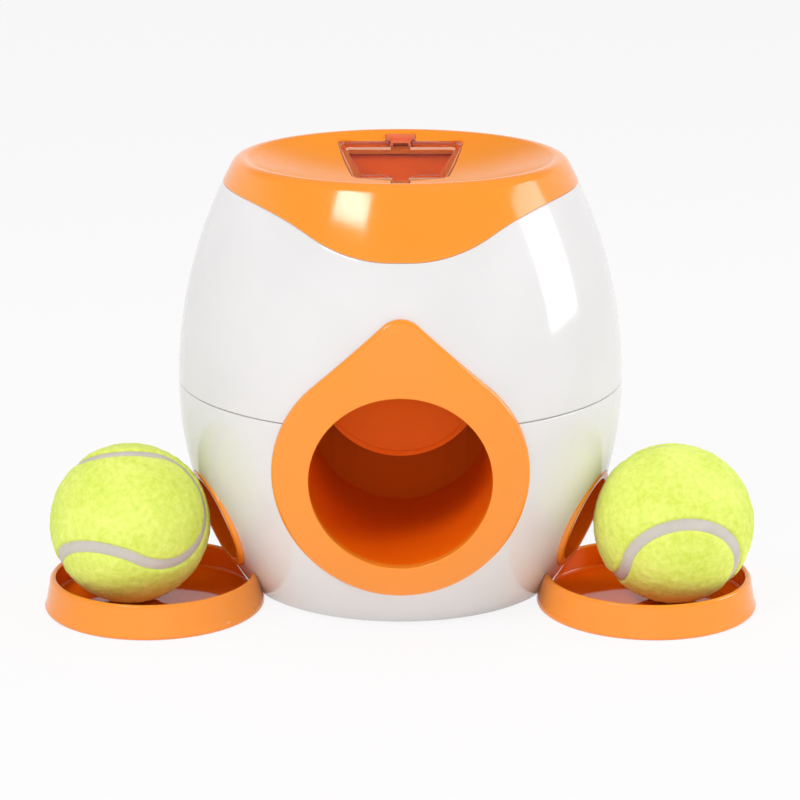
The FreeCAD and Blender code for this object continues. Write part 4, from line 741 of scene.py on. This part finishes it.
def build_lid():
    """Clear lid: low panel, raised rounded border, neck, hinge barrel and finger tab."""
    turns = corner_angles([rim_outline(), panel_outline()], 420)
    way = np.stack([np.sin(turns), np.cos(turns)], -1)
    outer = ray_reach(rim_outline(), turns)
    inner = np.minimum(ray_reach(panel_outline(), turns), outer - 0.7)
    soft = 0.3
    slope = [(a, LID_BORDER - b) for a, b in quarter(4, soft)]
    steps = [(inner * t, 0.0) for t in (0.02, 0.4, 0.8)] + [(inner - soft, 0.0), (inner, soft)]
    steps += [(inner + on, up) for on, up in slope] + [(outer - on, up) for on, up in slope[::-1]]
    steps += [(outer, -LID_THICK + soft), (outer - soft, -LID_THICK)]
    steps += [(outer * t, -LID_THICK) for t in (0.8, 0.4, 0.02)]
    rows = []
    for reach, up in steps:
        xy = LID_MIDDLE + way * reach[:, None]
        rows.append(lid_point(xy[:, 0], xy[:, 1], up))
    lid = make_piece("lid", capped_solid(rows), "lid", "clear_plastic", ["hatch_lid"], 40)
    hinge = np.array([0.0, HINGE_Y, HINGE_Z])
    profile = [(HINGE_R - soft, -HINGE_HALF), (HINGE_R, -HINGE_HALF + soft),
               (HINGE_R, HINGE_HALF - soft), (HINGE_R - soft, HINGE_HALF)]
    knuckle = capped_solid(round_about(profile, hinge, X_WAY, Y_WAY, Z_WAY, 48))
    trim(lid, [knuckle], "UNION", 40)
    bore = capped_solid(round_about([(PIN_BORE_R, -20), (PIN_BORE_R, 20)], hinge, X_WAY, Y_WAY, Z_WAY, 32))
    trim(lid, [bore], "DIFFERENCE", 40)
    square = np.array([0.0, -math.sin(LID_TILT), math.cos(LID_TILT)])

    def painted_highlight_edges(spots, normals):
        """Walls and rounded edges: every face that isn't square to the lid, which gets a painted highlight.
        """
        return abs(normals @ square) < 0.9

    def painted_shade_hinge(spots, normals):
        """The barrel and the neck, which get painted shade."""
        neck = (abs(spots[:, 0]) < 4.4) & (spots[:, 1] > lid_y(4.0))
        return (spots[:, 1] > LID_BACK_Y + 0.1) | neck

    paint(lid, EDGE_HIGHLIGHT_PAINTED, painted_highlight_edges)
    paint(lid, HINGE_SHADE_PAINTED, painted_shade_hinge)


# -------------------- surround and tube
def facet_y(x):
    """Front of the faceted wall behind the ball: a flat middle and two slanting facets on each side."""
    return WELL_Y + np.interp(np.abs(x), [0, 18.5, 27.5, 38.0], [0, 0, -2.5, -8.0])


def build_surround():
    """The teardrop surround and the ball tube behind it, as one closed surface.

    Each column is a half plane about the tube's axis. Its rows run from the tube's back end
    along the bore, over the bevelled hole, the plate and its rounded edge, round the collar,
    and back along the tube's outside. The tube is a trough behind its roof's end, so two
    columns share the angle where the roof stops.
    """
    stop = TUBE_ROOF_HALF
    roof = np.linspace(-stop, stop, 170)
    angles = np.concatenate([roof, np.linspace(stop, 2 * math.pi - stop, 200)])
    soft, bevel, tube = 1.3, 0.9, BORE_R + TUBE_WALL

    def ring(reach, offset):
        """Points at a reach from the hole's middle, on the barrel's skin moved outwards by an offset."""
        return on_barrel(reach * np.sin(angles), BORE_Z + reach * np.cos(angles), offset)

    def along(start, end, radius, places):
        """Rings round the tube's axis from one place along Y to another."""
        return [bore_point(start + (end - start) * t, angles, radius) for t in places]

    under_roof = np.arange(len(angles)) < len(roof)
    back_y = np.where(under_roof, TUBE_ROOF_END, facet_y(BORE_R * np.sin(angles)) + TUBE_PAST_WELL)
    front_y = ring(BORE_R, SURROUND_PROUD - bevel)[:, 1]
    rows = along(back_y, front_y, BORE_R, np.linspace(0, 0.97, 14))
    rows += [ring(BORE_R + a, SURROUND_PROUD - b) for a, b in quarter(7, bevel)]
    outer = drop_outline(angles, 0.0, BORE_Z)
    mouth = BORE_R + bevel
    rows += [ring(mouth + (outer - soft - mouth) * t, SURROUND_PROUD) for t in np.linspace(0, 1, 30)[1:]]
    rows += [ring(outer - b, SURROUND_PROUD - a) for a, b in quarter(7, soft)[1:]]
    inner = drop_outline(angles, -COLLAR_INSET, BORE_Z)
    back = drop_outline(angles, -COLLAR_INSET - COLLAR_WALL, BORE_Z)
    rows += [ring(outer, 0.1), ring(inner, 0.1), ring(inner, -COLLAR_DEPTH), ring(back, -COLLAR_DEPTH)]
    rows += [ring(back, -0.4), ring(tube, -0.4)]
    rows += along(ring(tube, -3.0)[:, 1], back_y, tube, np.linspace(0, 1, 6))
    surround = make_piece("surround", loop_solid(rows), "machine", "orange_plastic", ["front_surround"], 40)

    def in_bore_painted_shade(spots, normals):
        """Faces that line the bore, which get painted shade."""
        axis_z = bore_point(spots[:, 1], np.zeros(len(spots)), 0.0)[:, 2]
        return np.hypot(spots[:, 0], spots[:, 2] - axis_z) < BORE_R + 0.02

    paint(surround, ORANGE_SHADE_PAINTED, in_bore_painted_shade)


# -------------------- spouts and dishes
def build_spout(side, name):
    """Round spout: outside, rounded face edge, narrow face, softened bore edge, and bore."""
    face, way, across, up = spout_frame(side)
    round_r, soft = 1.2, 0.5
    profile = [(SPOUT_R, -SPOUT_LENGTH), (SPOUT_R, -SPOUT_FLARE)]
    profile += arc_points((SPOUT_R - round_r, -round_r), round_r, 0, 90, 7)
    profile += arc_points((SPOUT_BORE_R + soft, -soft), soft, 90, 180, 5)
    profile += [(SPOUT_BORE_R, -SPOUT_FLARE), (SPOUT_BORE_R, -SPOUT_LENGTH)]
    rows = round_about(profile, face, way, across, up, 180)
    spout = make_piece("spout_ring_" + name, loop_solid(rows), "machine", "orange_plastic",
                       ["spout_" + name], 40)

    def in_bore_painted_shade(spots, normals):
        """Faces that line the bore, which get painted shade."""
        return np.hypot((spots - face) @ across, (spots - face) @ up) < SPOUT_BORE_R + 0.1

    paint(spout, ORANGE_SHADE_PAINTED, in_bore_painted_shade)


def wall_r(z):
    """Radius of a dish's leaning wall, outside, at a height."""
    return TRAY_BASE_R - (TRAY_BASE_R - TRAY_RIM_R) / TRAY_RIM_Z * z


def build_tray(side, name):
    """Dish: rounded foot, leaning wall, rounded rim, fillet and floor, cut to the barrel."""
    half, foot_r, fillet_r = TRAY_WALL / 2, 1.6, 1.5
    profile = [(0.01, 0.0), (TRAY_BASE_R - 2.0, 0.0)]
    profile += arc_points((TRAY_BASE_R - foot_r, foot_r), foot_r, -80, 0, 7)
    profile += [(wall_r(z), z) for z in np.linspace(2.5, TRAY_RIM_Z - half, 6)]
    profile += arc_points((wall_r(TRAY_RIM_Z) - half, TRAY_RIM_Z - half), half, 8, 172, 11)
    profile += [(wall_r(z) - TRAY_WALL, z) for z in np.linspace(TRAY_RIM_Z - half, TRAY_FLOOR + 1.6, 6)]
    inner_r = wall_r(TRAY_FLOOR) - TRAY_WALL
    profile += arc_points((inner_r - fillet_r, TRAY_FLOOR + fillet_r), fillet_r, -5, -88, 6)
    profile += [(r, TRAY_FLOOR) for r in (38.0, 30.0, 20.0, 10.0, 0.01)]
    centre = TRAY_REACH * np.array([side * math.cos(BEARING), -math.sin(BEARING), 0.0])
    solid = capped_solid(round_about(profile, centre, Z_WAY, X_WAY, Y_WAY, 240))
    body = "tray_%s_body" % name
    tray = make_piece("dish_" + name, solid, body, "orange_plastic", ["tray_" + name], 38)
    angles = np.linspace(0, 2 * math.pi, PLACES, endpoint=False)
    heights = np.concatenate([[-5.0], np.linspace(0.7, 40, 24)])
    block = [round_points(barrel_r(max(z, 0.7), 0.3), z, angles) for z in heights]
    trim(tray, [capped_solid(block)], sharp=38)

    def in_dish_painted_shade(spots, normals):
        """Faces of the floor and of the wall's inside, which get painted shade."""
        reach = np.hypot(spots[:, 0] - centre[0], spots[:, 1] - centre[1])
        return (spots[:, 2] > TRAY_FLOOR - 0.2) & (reach < wall_r(spots[:, 2]) - TRAY_WALL + 0.3)

    paint(tray, ORANGE_FLOOR_SHADE_PAINTED, in_dish_painted_shade)


# -------------------- balls
def seam_line(count, lift):
    """Unit points along the seam: four equal small-circle arcs, each the mirror twist of the next."""
    c, s = math.cos(lift), math.sin(lift)
    poles = np.array([[c, 0, s], [0, c, -s], [-c, 0, s], [0, -c, -s]])
    corners = np.array([[1, -1, 0], [1, 1, 0], [-1, 1, 0], [-1, -1, 0]]) / math.sqrt(2)
    line = []
    for pole, start, end in zip(poles, corners, np.roll(corners, -1, axis=0)):
        centre = pole * (pole @ start)
        a = start - centre
        side = np.cross(pole, a)
        crown = Z_WAY * np.sign(pole[2])
        side *= np.sign(side @ (crown - pole * (crown @ pole)))
        b = end - centre
        sweep = math.atan2(b @ side / (side @ side), b @ a / (a @ a)) % (2 * math.pi)
        for t in np.linspace(0, sweep, count // 4, endpoint=False):
            line.append(centre + math.cos(t) * a + math.sin(t) * side)
    return np.array(line)


def cube_sphere(cells):
    """Unit sphere from the six faces of a cube, with nearly even cells, welded along its edges."""
    t = np.tan(np.linspace(-math.pi / 4, math.pi / 4, cells + 1))
    u, v = np.meshgrid(t, t, indexing="ij")
    one = np.ones_like(u)
    sides = [(one, u, v), (-one, v, u), (v, one, u), (u, -one, v), (u, v, one), (v, u, -one)]
    points = unit(np.concatenate([np.stack(s, -1).reshape(-1, 3) for s in sides]))
    count = cells + 1
    faces = np.concatenate([grid_faces(count, count, False, False, k * count ** 2) for k in range(6)])
    first, back = np.unique(np.round(points, 6), axis=0, return_index=True, return_inverse=True)[1:]
    return points[first], back.ravel()[faces]


def seam_distance(points, line):
    """Distance of each unit point to the nearest point of the seam, in radians."""
    best = np.full(len(points), -1.0)
    for k in range(0, len(line), 64):
        best = np.maximum(best, (points @ line[k:k + 64].T).max(1))
    return np.arccos(np.clip(best, -1, 1))


def felt_skin(line):
    """Felt of a ball: lumps of three sizes, and edges that roll down to a groove along the seam."""
    points, faces = cube_sphere(126)
    d = seam_distance(points, line) * BALL_R
    rolled = np.clip((d - SEAM_HALF) / 1.5, 0, 1)
    lumps = sum(high * random_lattice(points * BALL_R, cell, seed) for high, cell, seed in FELT_LUMPS)
    radius = BALL_R - 0.35 - 1.4 * (1 - rolled) ** 2.2 + lumps * (0.3 + 0.7 * rolled)
    radius = np.where(d < SEAM_HALF, BALL_R - 2.2, radius)
    return points * radius[:, None], faces


def seam_strip(line):
    """Smooth rubber of the seam: a band across the line, highest at its middle."""
    along = unit(np.roll(line, -1, axis=0) - np.roll(line, 1, axis=0))
    across = np.cross(line, along)
    reach = (SEAM_HALF + 0.35) / BALL_R
    rows = [(line * math.cos(t * reach) + across * math.sin(t * reach)) * (BALL_R - 0.85 - 0.45 * t * t)
            for t in np.linspace(-1, 1, 9)]
    strip = np.array(rows).transpose(1, 0, 2)[::2]
    return strip.reshape(-1, 3), grid_faces(strip.shape[0], strip.shape[1], True, False)


def loose_fibres(line, seed):
    """Short bent blades that stand out of the felt: a quad and a pointed triangle each."""
    rng = np.random.default_rng(seed)
    root = unit(rng.normal(size=(FIBRES * 2, 3)))
    root = root[seam_distance(root, line) * BALL_R > SEAM_HALF + 0.5][:FIBRES]
    lean = rng.normal(size=root.shape)
    lean = unit(lean - root * (lean * root).sum(1)[:, None])
    long = rng.uniform(0.6, 1.7, len(root))[:, None]
    rise = rng.uniform(0.1, 0.6, len(root))[:, None]
    base = root * (BALL_R - 0.75)
    middle = base + lean * long * 0.55 + root * rise * 0.9
    tip = base + lean * long + root * rise * rng.uniform(0.5, 1.6, len(root))[:, None]
    edge = np.cross(root, lean) * FIBRE_HALF
    blades = np.stack([base - edge, base + edge, middle + edge * 0.8, middle - edge * 0.8, tip], 1)
    n = np.arange(len(root))[:, None] * 5
    faces = (n + np.array([[0, 1, 2, 3]])).tolist() + (n + np.array([[3, 2, 4]])).tolist()
    return blades.reshape(-1, 3), faces


def build_ball(side, name):
    """Ball: its felt, its seam and its loose fibres."""
    reach, lift = TRAY_REACH + BALL_OUT[name], TRAY_FLOOR + BALL_LIFT + BALL_R
    centre = np.array([side * reach * math.cos(BEARING), -reach * math.sin(BEARING), lift])
    line = seam_line(1600, SEAM_LIFTS[name])

    def add(part, solid, slot, replaces=(), material=None):
        """A piece made round the origin, turned and set down in its dish."""
        points = solid[0] @ turn_matrix(BALL_TURNS[name]).T + centre
        make_piece("ball_%s_%s" % (name, part), (points, solid[1]), "ball_%s_body" % name, slot,
                   replaces, 180, material)

    add("felt", felt_skin(line), "felt", ["ball_felt_" + name])
    add("seam", seam_strip(line), "seam_rubber", ["ball_seam_" + name])
    add("fuzz", loose_fibres(line, 11 if side > 0 else 12), "felt", (), FUZZ)


# -------------------- stage, lamps and camera
LAMP_TARGET = np.array([0, 0, 0.09])
CAMERA_PLACE, CAMERA_DOWN = (0.0, -1.0527, 0.3616), 15.22
SENSOR, LENS, PICTURE = 36.0, 118.37, 800


def math_node(tree, operation, first, second, **values):
    """Result of a Math node on two inputs."""
    return node(tree, "ShaderNodeMath", [first, second], operation=operation, **values).outputs["Value"]


def plain_sight(tree, path):
    """1 for camera, glossy and transmission rays, and 0 for the diffuse rays that light a surface."""
    near = math_node(tree, "ADD", path["Is Camera Ray"], path["Is Glossy Ray"])
    return math_node(tree, "ADD", near, path["Is Transmission Ray"], use_clamp=True)


def stage_material(name, shade, keep):
    """White floor: mostly its own white where it is seen, and partly a surface that takes shadow."""
    made = bpy.data.materials.new(name)
    made.use_nodes = True
    tree = made.node_tree
    tree.nodes.remove(tree.nodes["Principled BSDF"])
    matt = node(tree, "ShaderNodeBsdfDiffuse", Color=(0.97, 0.965, 0.965, 1))
    glow = node(tree, "ShaderNodeEmission", Color=(*shade, 1), Strength=1.0)
    part = math_node(tree, "MULTIPLY", plain_sight(tree, node(tree, "ShaderNodeLightPath").outputs), keep)
    mix = node(tree, "ShaderNodeMixShader", [part, matt.outputs[0], glow.outputs[0]])
    fill(tree, tree.nodes["Material Output"].inputs["Surface"], mix.outputs[0])
    return made


def build_world():
    """White room: an even light, the plain white that is seen, and a grey ceiling in reflections."""
    world = bpy.data.worlds.new("white room")
    bpy.context.scene.world = world
    world.use_nodes = True
    tree = world.node_tree
    room = tree.nodes["Background"]
    fill(tree, room.inputs["Color"], (1, 1, 1, 1))
    fill(tree, room.inputs["Strength"], 0.52)
    path = node(tree, "ShaderNodeLightPath").outputs
    way = node(tree, "ShaderNodeSeparateXYZ", Vector=node(tree, "ShaderNodeTexCoord").outputs["Generated"])
    ceiling = node(tree, "ShaderNodeMapRange", Value=way.outputs["Z"], From_Min=0.30, From_Max=0.55,
                   interpolation_type="SMOOTHSTEP")
    share = math_node(tree, "MULTIPLY", ceiling.outputs["Result"], path["Is Glossy Ray"])
    tone = blend(tree, share, (0.985, 0.98, 0.98), (0.30, 0.30, 0.30))
    white = node(tree, "ShaderNodeBackground", Color=tone, Strength=1.0)
    mix = node(tree, "ShaderNodeMixShader", [plain_sight(tree, path), room.outputs[0], white.outputs[0]])
    fill(tree, tree.nodes["World Output"].inputs["Surface"], mix.outputs[0])


def build_floor():
    """A wide white floor."""
    reach = 6.0 / MM
    corners = [(-reach, -reach, 0), (reach, -reach, 0), (reach, reach, 0), (-reach, reach, 0)]
    floor = link_mesh("floor", (corners, [(0, 1, 2, 3)]))
    floor.data.materials.append(stage_material("floor white", (0.985, 0.975, 0.978), 0.9))


def lamp(name, azimuth, elevation, distance, width, height, radiance):
    """Soft box: a rectangle of even brightness that faces the object. Azimuth is from -Y, turning to +X."""
    a, e = math.radians(azimuth), math.radians(elevation)
    back = np.array([math.sin(a) * math.cos(e), -math.cos(a) * math.cos(e), math.sin(e)])
    light = bpy.data.lights.new(name, "AREA")
    light.shape, light.size, light.size_y = "RECTANGLE", width, height
    light.energy = radiance * math.pi * width * height
    holder = bpy.data.objects.new(name, light)
    bpy.context.scene.collection.objects.link(holder)
    side = unit(np.cross(Z_WAY, back))
    spot = LAMP_TARGET + back * distance
    place = np.eye(4)
    place[:3] = np.stack([side, np.cross(back, side), back, spot], 1)
    holder.matrix_world = Matrix(place.tolist())
    return holder


def build_camera():
    """View from 1.05 m in front of the barrel, looking down at it."""
    lens = bpy.data.cameras.new("camera")
    lens.sensor_width, lens.lens = SENSOR, LENS
    lens.shift_x = -0.5 / PICTURE
    camera = bpy.data.objects.new("camera", lens)
    bpy.context.scene.collection.objects.link(camera)
    camera.location = CAMERA_PLACE
    camera.rotation_euler = (math.radians(90 - CAMERA_DOWN), 0, 0)
    bpy.context.scene.camera = camera


def main():
    """Build every piece of the scene."""
    build_camera()
    build_floor()
    build_world()
    lamp("left box", -35, 42, 1.3, 0.42, 0.21, 17.5)
    lamp("right box", 93, 18, 1.2, 0.50, 0.64, 4.6)
    lamp("front fill", 0, 8, 1.3, 0.7, 0.5, 2.2).visible_glossy = False
    lamp("top box", 0, 80, 1.2, 0.9, 0.9, 1.4).visible_glossy = False
    dress_nodes()
    build_housings()
    build_top()
    build_lid()
    build_surround()
    for side, name in ((-1, "left"), (1, "right")):
        build_spout(side, name)
        build_tray(side, name)
        build_ball(side, name)
    bpy.context.scene.view_settings.view_transform = "Standard"


main()
